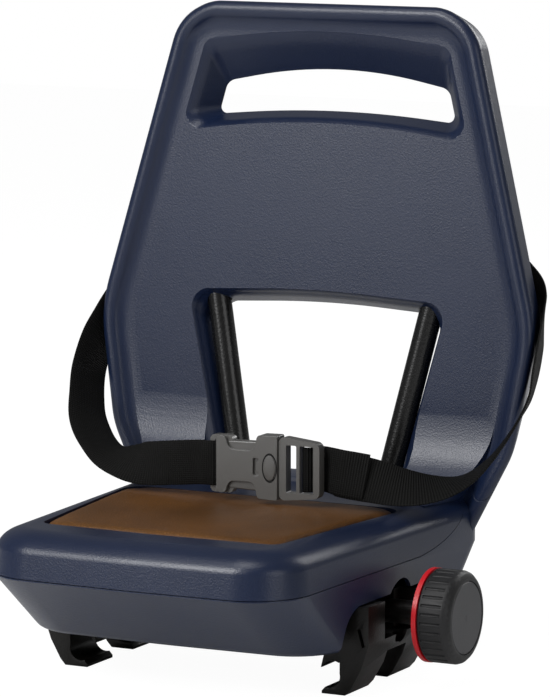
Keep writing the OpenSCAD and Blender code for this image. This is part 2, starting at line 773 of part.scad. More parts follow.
module clamp_base() color(dark) {
    difference() {
        union() {
            translate([-base_half_w, -base_half_l, 0]) cube([2 * base_half_w, 2 * base_half_l, tub_bottom_z]);
            translate([-block_half_w, -block_half_l, tub_bottom_z - 1])
                cube([2 * block_half_w, 2 * block_half_l, base_top_z - tub_bottom_z + 1]);
        }
        for (side = [-1, 1]) {
            translate([rod_x0 - eps, side * rod_y, rod_z]) rotate([0, 90, 0])
                cylinder(h = 100, r = rod_d / 2 + press_gap);
            translate([-100, side * rod_y, rod_z]) rotate([0, 90, 0]) cylinder(h = 70, r = 3.1);
            translate([side * tube_foot_x, 19, tube_foot_z]) rotate([-90, 0, 0])
                cylinder(h = 60, r = tube_d / 2 + press_gap);
            for (y = [-block_half_l + 4, 4 - block_half_l / 2]) translate([side * 26 - 14, y, 27])
                cube([28, block_half_l / 2 - 8, 40]);
        }
        translate([2, 0, spindle_z]) rotate([0, 90, 0]) cylinder(h = 100, r = spindle_d / 2 + 1);
        translate([nut_x - nut_gap, -nut_w / 2 - nut_gap, spindle_z - nut_w / 2 - nut_gap])
            cube([nut_l + 2 * nut_gap, nut_w + 2 * nut_gap, base_top_z]);
        for (p = base_screw_at) {
            translate([p[0], p[1], -1]) cylinder(h = 40, r = base_screw_r + fit_gap);
            translate([p[0], p[1], -1]) cylinder(h = screw_seat(p[1]) + 1, r = 4.8);
        }
        rotate([90, 0, 90]) translate([0, 0, -100]) linear_extrude(200)
            polygon([[-base_half_l - 1, -1], [-base_rise_y, -1], [-base_rise_y, 0],
                [-base_half_l - 1, base_rise]]);
    }
}

module base_screws() color(steel) {
    for (p = base_screw_at) translate([p[0], p[1], screw_seat(p[1])]) mirror([0, 0, 1])
        screw(base_screw_r, 24 - screw_seat(p[1]), 4.4, 2);
}

module along_x(x, y, z) {
    translate([x, y, z]) rotate([0, 90, 0]) children();
}

module guide_rods() color(steel) {
    for (side = [-1, 1]) along_x(rod_x0, side * rod_y, rod_z) cylinder(h = rod_x1 - rod_x0, r = rod_d / 2);
}

module spindle_nut() color(steel) {
    difference() {
        translate([nut_x, -nut_w / 2, spindle_z - nut_w / 2]) cube([nut_l, nut_w, nut_w]);
        along_x(nut_x - 1, 0, spindle_z) cylinder(h = nut_l + 2, r = spindle_d / 2 + run_gap);
    }
}

// Profile of a hook, looking along the rail
throat_top = 6;
module hook_outline() {
    tip = rail_x - 4.8;
    difference() {
        polygon([[tip, -hook_drop], [rail_x + 11.5, -hook_drop], [rail_x + 15.2, -hook_drop + 4],
            [rail_x + 22.2, -hook_drop + 16.4], [rail_x + 26.3, throat_top + 2], [jaw_out, throat_top + 8],
            [jaw_out, jaw_top_z], [jaw_in, jaw_top_z], [jaw_in, throat_top - 2], [tip, throat_top - 2]]);
        translate([rail_x, -rail_r]) circle(r = rail_r);
        polygon([[tip - 5, -hook_drop + 1.8], [tip, -hook_drop + 1.8], [tip + 2.4, -hook_drop + 4.4],
            [rail_x, -rail_r], [rail_x + rail_r * cos(14), -rail_r + rail_r * sin(14)],
            [rail_x + rail_r * cos(14), throat_top], [tip - 5, throat_top]]);
    }
}

module lip_outline() {
    difference() {
        polygon([[rail_x - 8.4, -4.5], [rail_x - 4, -4.5], [rail_x + 8, 1], [rail_x + 8, throat_top + 2],
            [rail_x - 4, throat_top + 2], [rail_x - 6, throat_top - 1]]);
        translate([rail_x, -rail_r]) circle(r = rail_r + fit_gap);
    }
}

module along_rail(y0, y1) {
    translate([0, y1, 0]) rotate([90, 0, 0]) linear_extrude(y1 - y0) children();
}

module jaw_form() {
    y1 = hook_pitch / 2 + hook_l / 2;
    y0 = hook_pitch / 2 - hook_l / 2;
    for (s = [-1, 1]) {
        along_rail(s > 0 ? y0 : -y1, s > 0 ? y1 : -y0) hook_outline();
        along_rail(s * hook_pitch / 2 - hook_l / 2 + 6, s * hook_pitch / 2 + hook_l / 2 - 6) lip_outline();
    }
    translate([jaw_in, -y0 - 1, throat_top + 4])
        cube([web_in - jaw_in, 2 * y0 + 2, jaw_top_z - throat_top - 4]);
    along_rail(-y0 - 1, y0 + 1) polygon([[jaw_out - 10, 4], [rail_x + 24.9, 4], [rail_x + 26.3, throat_top + 2],
        [jaw_out, throat_top + 8], [jaw_out, jaw_top_z], [jaw_out - 8, jaw_top_z], [jaw_out - 10, 10]]);
}

module jaw_right() color(dark) {
    difference() {
        jaw_form();
        along_x(jaw_in - 1, 0, spindle_z) cylinder(h = web_in - jaw_in + 2, r = spindle_d / 2 + run_gap);
        along_x(jaw_out - 14, 0, spindle_z) cylinder(h = 20, r = 9.5);
        translate([jaw_out - 14, -9.5, spindle_z]) cube([20, 19, 30]);
        along_x(jaw_out - 14, 3, 12.5) cylinder(h = 20, r = 6);
        for (side = [-1, 1]) along_x(jaw_in - 1, side * rod_y, rod_z)
            cylinder(h = jaw_out - 3 - jaw_in + 1, r = rod_d / 2 + run_gap);
    }
}

module jaw_left() color(dark) {
    difference() {
        union() {
            mirror([1, 0, 0]) jaw_form();
            translate([-jaw_in - 1, -44, 12]) cube([jaw_in + 1 - block_half_w, 88, 24]);
        }
        for (side = [-1, 1]) {
            along_x(-jaw_out - 1, side * rod_y, rod_z) cylinder(h = 80, r = 3.2);
            along_x(-jaw_out - 1, side * rod_y, rod_z) cylinder(h = 21, r = 5.6);
        }
    }
}

module jaw_left_screws() color(steel) {
    for (side = [-1, 1]) translate([-jaw_out + 20, side * rod_y, rod_z]) rotate([0, -90, 0])
        screw(3, 66, 5.2, 5);
}

// Knob and spindle
washer_x = web_in + 0.15;
washer_t = 1.5;

module ring_x(x, l, r_in, r_out) {
    along_x(x, 0, spindle_z) difference() {
        cylinder(h = l, r = r_out);
        translate([0, 0, -1]) cylinder(h = l + 2, r = r_in);
    }
}

module thrust_washer() color(steel) ring_x(washer_x, washer_t, spindle_d / 2 + press_gap, 9);
module circlip() color(steel) ring_x(jaw_in - 0.15 - 1.2, 1.2, spindle_d / 2 + press_gap, 8);

module spacer_sleeve() color([0.05, 0.05, 0.05]) {
    x0 = washer_x + washer_t;
    ring_x(x0, knob_x - x0, spindle_d / 2 + press_gap, 7.8);
}

ring_t = 3;
module knob_ring() color([0.7, 0.08, 0.1]) ring_x(knob_x, ring_t, spindle_d / 2 + press_gap, knob_d / 2 + 0.3);

cap_t = 3;
knob_end = knob_x + ring_t + knob_l;
module spindle() color(steel) {
    along_x(spindle_x0, 0, spindle_z) cylinder(h = knob_end - cap_t - 3 - spindle_x0, r = spindle_d / 2);
}

module knob() color(dark) {
    r = knob_d / 2;
    along_x(knob_x + ring_t, 0, spindle_z) difference() {
        rotate_extrude() polygon([[0, 0], [r - 1.5, 0], [r, 1.5], [r, knob_l - 5], [r - 0.7, knob_l - 2.8],
            [r - 2.4, knob_l - 1], [r - 4.6, knob_l], [0, knob_l]]);
        translate([0, 0, knob_l - cap_t]) cylinder(h = 10, r = cap_d / 2 + 0.2);
        translate([0, 0, -1]) cylinder(h = knob_l - cap_t - 2, r = spindle_d / 2 + press_gap);
        for (i = [0:grip_n - 1]) rotate([0, 0, 360 * i / grip_n]) translate([r + 0.2, 0, 2.5])
            cylinder(h = knob_l - 8, r = 1.1, $fn = 16);
    }
}

module knob_cap() color(dark) {
    along_x(knob_end - cap_t, 0, spindle_z) rotate_extrude()
        polygon([[0, 0], [cap_d / 2, 0], [cap_d / 2, cap_t - 0.8], [cap_d / 2 - 0.8, cap_t], [0, cap_t + 0.3]]);
}

front_shell();
tub_shell();
back_cover();
seat_pad();
frame_tube(-1);  // frame_tube_left
frame_tube(1);  // frame_tube_right
tube_saddle(-1);  // tube_saddle_left
tube_saddle(1);  // tube_saddle_right
saddle_screws();
shell_screws();
belt_anchor(-1);  // belt_anchor_left
belt_anchor(1);  // belt_anchor_right
anchor_screws();
belt_left();
belt_right();
buckle_socket();
buckle_clip();
clamp_base();
base_screws();
guide_rods();
spindle_nut();
jaw_left();
jaw_left_screws();
jaw_right();
thrust_washer();
spindle();
spacer_sleeve();
circlip();
knob_ring();
knob();
knob_cap();
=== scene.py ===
import math

import bmesh
import bpy
import numpy as np
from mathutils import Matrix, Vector


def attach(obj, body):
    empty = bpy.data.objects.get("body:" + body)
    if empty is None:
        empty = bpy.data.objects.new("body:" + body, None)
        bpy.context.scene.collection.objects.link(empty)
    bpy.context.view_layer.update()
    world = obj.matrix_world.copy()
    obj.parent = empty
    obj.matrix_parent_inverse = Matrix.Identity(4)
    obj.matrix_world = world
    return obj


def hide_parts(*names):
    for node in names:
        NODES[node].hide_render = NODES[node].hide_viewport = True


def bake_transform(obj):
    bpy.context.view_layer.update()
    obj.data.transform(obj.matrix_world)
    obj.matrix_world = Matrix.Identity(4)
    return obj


bl_info = {
    "name": "Rear child bike seat",
    "version": (1, 0, 0),
    "blender": (4, 5, 0),
    "location": "View3D > Sidebar > Bike seat",
    "description": "Shells, pad, belt, buckle, tubes and clamp of a rear child bike seat",
    "category": "Object",
}

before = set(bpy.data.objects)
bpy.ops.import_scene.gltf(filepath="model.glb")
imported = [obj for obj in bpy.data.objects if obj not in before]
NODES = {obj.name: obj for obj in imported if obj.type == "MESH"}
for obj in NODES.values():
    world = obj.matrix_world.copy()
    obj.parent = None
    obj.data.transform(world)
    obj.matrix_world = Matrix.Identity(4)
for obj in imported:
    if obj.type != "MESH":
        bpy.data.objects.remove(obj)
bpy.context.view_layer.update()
MM = 0.001


def colour_setting(name, what, default):
    """A setting for one colour"""
    return bpy.props.FloatVectorProperty(
        name=name, description="Colour of the " + what, subtype="COLOR", size=3, default=default,
        min=0, max=1)


class SeatSettings(bpy.types.PropertyGroup):
    """Sizes and colours of the dressed seat"""
    shell_colour: colour_setting("Shell", "moulded shells", (0.0058, 0.0128, 0.040))
    pad_colour: colour_setting("Pad", "seat pad", (0.145, 0.060, 0.013))
    webbing_colour: colour_setting("Webbing", "belt", (0.0040, 0.0040, 0.0038))
    buckle_colour: colour_setting("Buckle", "buckle", (0.078, 0.076, 0.072))
    clamp_colour: colour_setting("Clamp", "clamp's jaws and base", (0.0036, 0.0030, 0.0024))
    knob_colour: colour_setting("Knob", "clamp's knob", (0.0095, 0.0095, 0.0105))
    ring_colour: colour_setting("Ring", "ring between knob and sleeve", (0.60, 0.006, 0.014))
    grain_size: bpy.props.FloatProperty(
        name="Grain", description="Size of the shells' moulded grain", default=0.0011, min=0.0005, max=0.003,
        unit="LENGTH")
    pad_crown: bpy.props.FloatProperty(
        name="Pad crown", description="How far the pad may swell", default=0.0013, min=0, max=0.003,
        unit="LENGTH")


# Materials; the webbing's numbers are metres a rib and yarns a width

GRAIN_DEPTH, RIB, YARNS = 0.35, 0.0017, 22


def node(tree, kind, x, y, **values):
    """A new node at x, y with its own settings"""
    n = tree.nodes.new(kind)
    n.location = (x, y)
    for k, v in values.items():
        setattr(n, k, v)
    return n


def socket(group, name, way, kind, value=None):
    """An input or output of a node group"""
    s = group.interface.new_socket(name=name, in_out=way, socket_type=kind)
    if value is not None:
        s.default_value = value


def grain_group():
    """Moulded grain: fine cells and a soft mottle over a colour"""
    g = bpy.data.node_groups.new("Moulded grain", "ShaderNodeTree")
    join = g.links.new
    socket(g, "Colour", "INPUT", "NodeSocketColor", (0.1, 0.1, 0.1, 1))
    socket(g, "Size", "INPUT", "NodeSocketFloat", 0.001)
    socket(g, "Mottle", "INPUT", "NodeSocketFloat", 0.1)
    socket(g, "Roughness", "INPUT", "NodeSocketFloat", 0.5)
    socket(g, "Colour", "OUTPUT", "NodeSocketColor")
    socket(g, "Roughness", "OUTPUT", "NodeSocketFloat")
    socket(g, "Height", "OUTPUT", "NodeSocketFloat")
    i = node(g, "NodeGroupInput", -900, 0)
    o = node(g, "NodeGroupOutput", 700, 0)
    place = node(g, "ShaderNodeTexCoord", -900, 300)
    per = node(g, "ShaderNodeMath", -700, 100, operation="DIVIDE")
    per.inputs[0].default_value = 1
    join(i.outputs["Size"], per.inputs[1])
    cells = node(g, "ShaderNodeTexVoronoi", -450, 250)
    join(place.outputs["Object"], cells.inputs["Vector"])
    join(per.outputs[0], cells.inputs["Scale"])
    fine = node(g, "ShaderNodeTexNoise", -450, 0)
    fine.inputs["Detail"].default_value = 3
    join(place.outputs["Object"], fine.inputs["Vector"])
    join(per.outputs[0], fine.inputs["Scale"])
    broad = node(g, "ShaderNodeTexNoise", -450, -250)
    broad.inputs["Scale"].default_value = 22
    broad.inputs["Detail"].default_value = 4
    join(place.outputs["Object"], broad.inputs["Vector"])
    height = node(g, "ShaderNodeMath", -150, 250, operation="ADD")
    join(cells.outputs["Distance"], height.inputs[0])
    join(fine.outputs["Fac"], height.inputs[1])
    join(height.outputs[0], o.inputs["Height"])
    both = node(g, "ShaderNodeMath", -150, 0, operation="ADD")
    join(fine.outputs["Fac"], both.inputs[0])
    join(broad.outputs["Fac"], both.inputs[1])
    swing = node(g, "ShaderNodeMath", 50, 0, operation="SUBTRACT")
    swing.inputs[1].default_value = 1
    join(both.outputs[0], swing.inputs[0])
    share = node(g, "ShaderNodeMath", 200, 0, operation="MULTIPLY_ADD")
    share.inputs[2].default_value = 1
    join(swing.outputs[0], share.inputs[0])
    join(i.outputs["Mottle"], share.inputs[1])
    tint = node(g, "ShaderNodeVectorMath", 400, 150, operation="SCALE")
    join(i.outputs["Colour"], tint.inputs[0])
    join(share.outputs[0], tint.inputs["Scale"])
    join(tint.outputs[0], o.inputs["Colour"])
    rough = node(g, "ShaderNodeMath", 400, -100, operation="MULTIPLY_ADD")
    rough.inputs[1].default_value = 0.12
    join(swing.outputs[0], rough.inputs[0])
    join(i.outputs["Roughness"], rough.inputs[2])
    join(rough.outputs[0], o.inputs["Roughness"])
    return g


def blank(name, colour):
    """A new material with its tree and surface shader"""
    m = bpy.data.materials.new(name)
    m.use_nodes = True
    m.diffuse_color = (*colour, 1)
    return m, m.node_tree, m.node_tree.nodes["Principled BSDF"]


def moulded(name, colour, size, mottle, roughness, bump, specular, metallic=0.0):
    """A moulded or painted finish with the shared grain"""
    m, t, s = blank(name, colour)
    g = node(t, "ShaderNodeGroup", -500, 200, node_tree=GROUPS["grain"])
    g.inputs["Colour"].default_value = (*colour, 1)
    g.inputs["Size"].default_value = size
    g.inputs["Mottle"].default_value = mottle
    g.inputs["Roughness"].default_value = roughness
    b = node(t, "ShaderNodeBump", -250, -100)
    b.inputs["Strength"].default_value = bump
    b.inputs["Distance"].default_value = size * GRAIN_DEPTH
    t.links.new(g.outputs["Height"], b.inputs["Height"])
    t.links.new(g.outputs["Colour"], s.inputs["Base Color"])
    t.links.new(g.outputs["Roughness"], s.inputs["Roughness"])
    t.links.new(b.outputs["Normal"], s.inputs["Normal"])
    s.inputs["Specular IOR Level"].default_value = specular
    s.inputs["Metallic"].default_value = metallic
    return m


def leather(name, colour):
    """Leather-look skin: pebbled grain, a tone that differs at random, and painted shade in the creases
    between the pebbles
    """
    m, t, s = blank(name, colour)
    join = t.links.new
    place = node(t, "ShaderNodeTexCoord", -1300, 0)
    warp = node(t, "ShaderNodeTexNoise", -1100, -200)
    warp.inputs["Scale"].default_value = 60
    join(place.outputs["Object"], warp.inputs["Vector"])
    add = node(t, "ShaderNodeVectorMath", -900, 0, operation="MULTIPLY_ADD")
    add.inputs[1].default_value = (0.004, 0.004, 0.004)
    join(warp.outputs["Color"], add.inputs[0])
    join(place.outputs["Object"], add.inputs[2])
    pebbles = node(t, "ShaderNodeTexVoronoi", -700, 100, feature="DISTANCE_TO_EDGE")
    pebbles.inputs["Scale"].default_value = 520
    join(add.outputs[0], pebbles.inputs["Vector"])
    edge = node(t, "ShaderNodeMapRange", -500, 100)
    edge.inputs["From Max"].default_value = 0.35
    join(pebbles.outputs["Distance"], edge.inputs["Value"])
    tone = node(t, "ShaderNodeTexNoise", -700, -200)
    tone.inputs["Scale"].default_value = 16
    tone.inputs["Detail"].default_value = 6
    join(place.outputs["Object"], tone.inputs["Vector"])
    ramp = node(t, "ShaderNodeValToRGB", -450, -200)
    ramp.color_ramp.elements[0].position = 0.3
    ramp.color_ramp.elements[0].color = (*[c * 0.72 for c in colour], 1)
    ramp.color_ramp.elements[1].position = 0.75
    ramp.color_ramp.elements[1].color = (*[c * 1.25 for c in colour], 1)
    join(tone.outputs["Fac"], ramp.inputs["Fac"])
    # painted shade: the tone is darkened along the creases between the pebbles, where the bump sinks
    crease_shade = node(t, "ShaderNodeMix", -200, 0, data_type="RGBA", blend_type="MULTIPLY")
    crease_shade.inputs["Factor"].default_value = 0.35
    join(ramp.outputs["Color"], crease_shade.inputs["A"])
    join(edge.outputs["Result"], crease_shade.inputs["B"])
    join(crease_shade.outputs["Result"], s.inputs["Base Color"])
    b = node(t, "ShaderNodeBump", -200, -400)
    b.inputs["Strength"].default_value = 0.35
    b.inputs["Distance"].default_value = 0.0003
    join(edge.outputs["Result"], b.inputs["Height"])
    join(b.outputs["Normal"], s.inputs["Normal"])
    s.inputs["Roughness"].default_value = 0.5
    s.inputs["Specular IOR Level"].default_value = 0.26
    return m


def ribbed(name, colour):
    """Webbing with ribs across its width, read from the piece's own map: U in widths, V in metres"""
    m, t, s = blank(name, colour)
    join = t.links.new
    place = node(t, "ShaderNodeUVMap", -1200, 0, uv_map="Weave")
    parts = node(t, "ShaderNodeSeparateXYZ", -1000, 0)
    join(place.outputs["UV"], parts.inputs["Vector"])

    def wave(source, per, x, y):
        k = node(t, "ShaderNodeMath", x, y, operation="MULTIPLY")
        k.inputs[1].default_value = per * 2 * math.pi
        join(source, k.inputs[0])
        w = node(t, "ShaderNodeMath", x + 160, y, operation="SINE")
        join(k.outputs[0], w.inputs[0])
        a = node(t, "ShaderNodeMath", x + 320, y, operation="MULTIPLY_ADD")
        a.inputs[1].default_value = 0.5
        a.inputs[2].default_value = 0.5
        join(w.outputs[0], a.inputs[0])
        return a.outputs[0]

    ribs = wave(parts.outputs["Y"], 1 / RIB, -800, 200)
    yarns = wave(parts.outputs["X"], YARNS, -800, -100)
    mixed = node(t, "ShaderNodeMath", -300, 100, operation="MULTIPLY_ADD")
    mixed.inputs[1].default_value = 0.3
    join(yarns, mixed.inputs[0])
    join(ribs, mixed.inputs[2])
    # painted shade and light: the webbing's colour is darker in the grooves between ribs and yarns and
    # lighter on their tops
    ramp = node(t, "ShaderNodeValToRGB", -100, 250)
    ramp.color_ramp.elements[0].color = (*[c * 0.35 for c in colour], 1)
    ramp.color_ramp.elements[1].color = (*[c * 1.7 for c in colour], 1)
    ramp.color_ramp.elements[1].position = 1
    join(mixed.outputs[0], ramp.inputs["Fac"])
    join(ramp.outputs["Color"], s.inputs["Base Color"])
    b = node(t, "ShaderNodeBump", -100, -100)
    b.inputs["Strength"].default_value = 0.8
    b.inputs["Distance"].default_value = 0.0006
    join(mixed.outputs[0], b.inputs["Height"])
    join(b.outputs["Normal"], s.inputs["Normal"])
    s.inputs["Roughness"].default_value = 0.72
    s.inputs["Specular IOR Level"].default_value = 0.14
    return m


GROUPS = {}
FINISH = {}


def finish_of(o, name):
    """Gives a piece one finish, in place of what it had"""
    o.data.materials.clear()
    o.data.materials.append(FINISH[name])


# Shapes, in millimetres until they become a piece

def corner(p, q, r, rad, n):
    """Tangent arc at corner q between p and r"""
    p, q, r = (np.array(v, float) for v in (p, q, r))
    u, v = (p - q) / np.linalg.norm(p - q), (r - q) / np.linalg.norm(r - q)
    half = math.acos(max(-1, min(1, float(u @ v)))) / 2
    reach = rad / math.tan(half)
    mid = q + (u + v) / np.linalg.norm(u + v) * rad / math.sin(half)
    a, b = q + u * reach - mid, q + v * reach - mid
    sweep = math.pi - 2 * half
    return [mid + (a * math.sin(sweep * (1 - i / n)) + b * math.sin(sweep * i / n)) / math.sin(sweep)
            for i in range(n + 1)]


def rounded(pts, rads, n):
    """A closed outline with each corner turned into an arc"""
    m = len(pts)
    out = []
    for i in range(m):
        out += corner(pts[i - 1], pts[i], pts[(i + 1) % m], rads[i], n)
    return np.array(out)


def inset(pts, d):
    """A closed outline moved inwards by d"""
    e = np.roll(pts, -1, 0) - np.roll(pts, 1, 0)
    k = np.linalg.norm(e, axis=1, keepdims=True)
    return pts + np.c_[-e[:, 1], e[:, 0]] / k * d


def smooth_line(pts, n):
    """Points along a smooth line through pts"""
    pts = np.array(pts, float)
    out = []
    m = len(pts) - 1
    for i in range(m):
        a, b, c, d = pts[max(i - 1, 0)], pts[i], pts[i + 1], pts[min(i + 2, m)]
        for k in range(n):
            t = k / n
            out.append(0.5 * (2 * b + (c - a) * t + (2 * a - 5 * b + 4 * c - d) * t * t
                              + (3 * b - a - 3 * c + d) * t ** 3))
    out.append(pts[m])
    return np.array(out)


def mesh_piece(name, verts, faces):
    """A mesh object at the origin, from millimetres"""
    me = bpy.data.meshes.new(name)
    me.from_pydata([tuple(v * MM for v in p) for p in verts], [], faces)
    me.validate()
    o = bpy.data.objects.new(name, me)
    bpy.context.scene.collection.objects.link(o)
    return o


def loft(name, rings):
    """Closed solid through rings of equal length"""
    m, k = len(rings[0]), len(rings)
    verts = [p for ring in rings for p in ring]
    faces = [tuple(range(m))[::-1], tuple((k - 1) * m + i for i in range(m))]
    for j in range(k - 1):
        for i in range(m):
            a, b = j * m + i, j * m + (i + 1) % m
            faces.append((a, b, b + m, a + m))
    o = mesh_piece(name, verts, faces)
    outward(o)
    return o


def outward(o):
    """Turns all faces outwards"""
    bm = bmesh.new()
    bm.from_mesh(o.data)
    bmesh.ops.recalc_face_normals(bm, faces=bm.faces)
    bm.to_mesh(o.data)
    bm.free()


def pick(o):
    """Only this piece is selected and active"""
    bpy.ops.object.select_all(action="DESELECT")
    o.hide_set(False)
    o.select_set(True)
    bpy.context.view_layer.objects.active = o


def cut(o, other, way="DIFFERENCE"):
    """Cuts, joins or keeps the shared part, and removes the tool"""
    pick(o)
    m = o.modifiers.new("cut", "BOOLEAN")
    m.operation = way
    m.solver = "MANIFOLD"
    m.object = other
    bpy.ops.object.modifier_apply(modifier=m.name)
    bpy.data.objects.remove(other)
    if not o.data.polygons:
        raise RuntimeError(f"{o.name}: nothing is left after {way}")


def soften(o, width, angle, segments):
    """Rounds the edges sharper than an angle"""
    pick(o)
    m = o.modifiers.new("edges", "BEVEL")
    m.width = width
    m.segments = segments
    m.limit_method = "ANGLE"
    m.angle_limit = math.radians(angle)
    bpy.ops.object.modifier_apply(modifier=m.name)
    shade(o, 40)


def shade(o, angle):
    """Smooth shading with sharp edges above an angle"""
    pick(o)
    bpy.ops.object.shade_smooth_by_angle(angle=math.radians(angle))


def even_normals(o):
    """Lets the large flat faces rule the normals at their rims"""
    pick(o)
    m = o.modifiers.new("normals", "WEIGHTED_NORMAL")
    m.keep_sharp = True
    m.weight = 80
    bpy.ops.object.modifier_apply(modifier=m.name)


def copy_of(cad, name):
    """A merged copy of a CAD node, ready to be dressed"""
    src = NODES[cad]
    o = bpy.data.objects.new(name, src.data.copy())
    bpy.context.scene.collection.objects.link(o)
    pick(o)
    bpy.ops.object.mode_set(mode="EDIT")
    bpy.ops.mesh.select_all(action="SELECT")
    bpy.ops.mesh.remove_doubles(threshold=0.00001)
    bpy.ops.mesh.dissolve_limited(angle_limit=math.radians(0.5))
    bpy.ops.object.mode_set(mode="OBJECT")
    return o


# The seat's own numbers, in millimetres; angles in radians where nothing else is said

SEAT_TOP, SEAM_Z, TUB_Z, WALL, GAP = 85.4, 56.2, 11.5, 3.0, 0.5
BACK_Y, LEAN, BACK_H, BACK_W, WIDE_S, TOP_W = 104.0, math.radians(4.8), 322.0, 321.0, 108.0, 217.0
BACK_T, BACK_SEAM, BEAD_H, BEAD_R, DRAFT, FOOT = 30.0, 20.0, 6.0, 6.5, 7.0, 0.06
BACK_EDGE_R, SEAT_EDGE_R, TUB_EDGE = 11.0, 13.0, 4.0
BACK_CORNERS = [[113.4, -46], [BACK_W / 2 - 9.5, 30], [BACK_W / 2 + 3, WIDE_S],
                [TOP_W / 2 - 0.5, BACK_H - 2.5]]
BACK_RADII = [20, 62, 95, 36]
CROWN_H, CROWN_HALF, CROWN_FROM = 4, 95, BACK_H - 30

# Plans of the tub's floor, the seam and the seat's top: reach to front and rear, width there, front corner
FLOOR_PLAN = (94, 90, 212, 236, 36)
SEAM_PLAN = (151, BACK_Y + 18, 217, 250, 40)
TOP_PLAN = (146, BACK_Y + 24, 210, 245, 36)
NOSE, NOSE_R, REAR_R = 3, 400, 26

# Sweep from the seat's top into the backrest
SWEEP_RUN, SWEEP_RISE, SWEEP_PULL, SWEEP_DEPTH, SWEEP_NARROW = 46, 66, (34, 46), 12, 0.82

# Hand recess, at the backrest's face and at its hole
HAND_FOOT, HAND_HEAD = (209, 177), (176, 165)
HAND_LOW, HAND_HIGH = (233.5, 243.5), (291.2, 265.8)
HAND_SILL, HAND_LIFT, ARCH_SHARE = (14.5, 7.9), (11.5, 16.5), 0.76
HAND_LOW_R, HAND_HIGH_R, HAND_ROUND, HAND_DEPTH = (10, 4.5), 9, 6, 20

# Window between the frame tubes, half widths and heights up the backrest
WINDOW_FOOT, WINDOW_HEAD, WINDOW_LOW, WINDOW_HIGH = 64, 93, 4, 121
WINDOW_ARCH, WINDOW_ARCH_R, WINDOW_R, WINDOW_ROUND = 5, 720, 13, 10

# Pad: its plan, how deep its bed and its underside lie, and how it is blown up
PAD_HALF, PAD_FRONT, PAD_REAR, PAD_FLARE, PAD_NOSE = 83.5, 108, 40, math.radians(6.75), 3
PAD_BED, PAD_SUNK, PAD_SLACK = 5.2, 4.9, 0.8
PAD_VOXEL, PAD_FRAMES, PAD_PRESSURE, PAD_STIFF = 0.0022, 13, 4, 30

# Frame tubes: their straight legs, in degrees, and the way cut for them
TUBE_FOOT, TUBE_LEAN, TUBE_SPLAY, TUBE_FROM, TUBE_TO = (43.6, 105.1, 36), 7.24, 12.06, 36, 268.3
TUBE_WAY_R = 8.3

# Room in the tub for the jaws and the spindle
JAW_HALF, JAW_WAY_X, FLANK_FROM, FLANK_TO = 51.0, 150, 80, 160
KNOB_ARCH_Y, KNOB_ARCH_Z, KNOB_ARCH_R = 4, 33, 15

# Recesses for screw heads: places, radius, and from where to where they go
BACK_HEADS, BACK_HEAD_R, BACK_HEAD_D = ((118, 215), (135, 150), (122, 75), (60, 146)), 3.6, (26, 40)
TUB_HEADS, TUB_HEAD_R, TUB_HEAD_Z = ((84, -78), (98, 70)), 4.2, (5, 16.5)

# How far cutters reach: to front and rear, up, and to each side
AWAY, ABOVE, ASIDE = 300, 400, 200


def mix(a, b, t):
    """From a to b by the share t"""
    return a + (b - a) * t


def on_back(p):
    """From backrest axes to the seat's frame"""
    c, s = math.cos(LEAN), math.sin(LEAN)
    return (p[0], BACK_Y + p[1] * c + p[2] * s, SEAT_TOP - p[1] * s + p[2] * c)


def back_outline(n):
    """The backrest seen from the front, widest at WIDE_S"""
    return rounded(BACK_CORNERS + [[-x, y] for x, y in BACK_CORNERS[::-1]], BACK_RADII + BACK_RADII[::-1], n)


def back_ring(outline, i, d):
    """The outline drawn in by i and drafted, d behind the backrest's face"""
    t = (d + BEAD_H) / (BACK_T + BEAD_H)
    out = []
    for p in inset(outline, i + DRAFT * t):
        z = p[1] + (CROWN_H * max(0, 1 - (p[0] / CROWN_HALF) ** 2) if p[1] >= CROWN_FROM else 0)
        k = 1 - FOOT * t * max(0, min(1.3, 1.2 - z / WIDE_S))
        out.append(on_back((p[0] * k, d, z)))
    return out


def back_solid(n, fine):
    """The backrest, from its rear face round the rolled rim to its front; the plain one is what is hollow"""
    outline = back_outline(n)
    r, c = BACK_EDGE_R, BEAD_R - BEAD_H
    if fine:
        sec = [[12.6, BACK_T - 0.1]]
        sec += [[r * (1 - math.cos(a)) + 0.5 * math.sin(a), BACK_T - r + r * math.sin(a) - 0.6]
                for a in np.radians(np.linspace(88, 0, 11))]
        sec += [[0, 12], [0, 6], [0, c]]
        sec += [[BEAD_R * (1 - math.cos(a)), c - BEAD_R * math.sin(a)]
                for a in np.radians(np.arange(12, 133, 10))]
        x, y = sec[-1]
        dip = [[x - 0.6, y - 1.0], [x, y], [x + 1.6, y + 1.7], [x + 4.2, -1.1], [x + 8, -0.3], [x + 13, 0]]
        sec += [list(p) for p in smooth_line(dip, 4)[5:]]
    else:
        w = WALL
        sec = [[12.8, BACK_T - w], [w + 2, BACK_T - r + 1], [w, BACK_T - r - 3], [w, c],
               [w + 1, c - 2.5], [BEAD_R + 1, w - BEAD_H], [BEAD_R + 9, w - 1], [BEAD_R + 19, w]]
    return loft("back", [back_ring(outline, i, d) for i, d in sec])


def seat_ring(low, high, t, z, w, n):
    """The seat's plan between two of its plans, drawn in by w, at height z"""
    front, rear, fw, rw, r = (mix(a, b, t) for a, b in zip(low, high))
    flat = rounded([[0, -front - NOSE], [fw / 2, -front], [rw / 2, rear], [-rw / 2, rear], [-fw / 2, -front]],
                   [NOSE_R, r, REAR_R, REAR_R, r], n)
    return [(p[0], p[1], z) for p in inset(flat, w)]


def tub_ring(z, w, n):
    """Between floor and seam"""
    return seat_ring(FLOOR_PLAN, SEAM_PLAN, (z - TUB_Z) / (SEAM_Z - TUB_Z), z, w, n)


def top_ring(z, w, n):
    """Between seam and rim"""
    return seat_ring(SEAM_PLAN, TOP_PLAN, (z - SEAM_Z) / (SEAT_TOP - SEAM_Z), z, w, n)


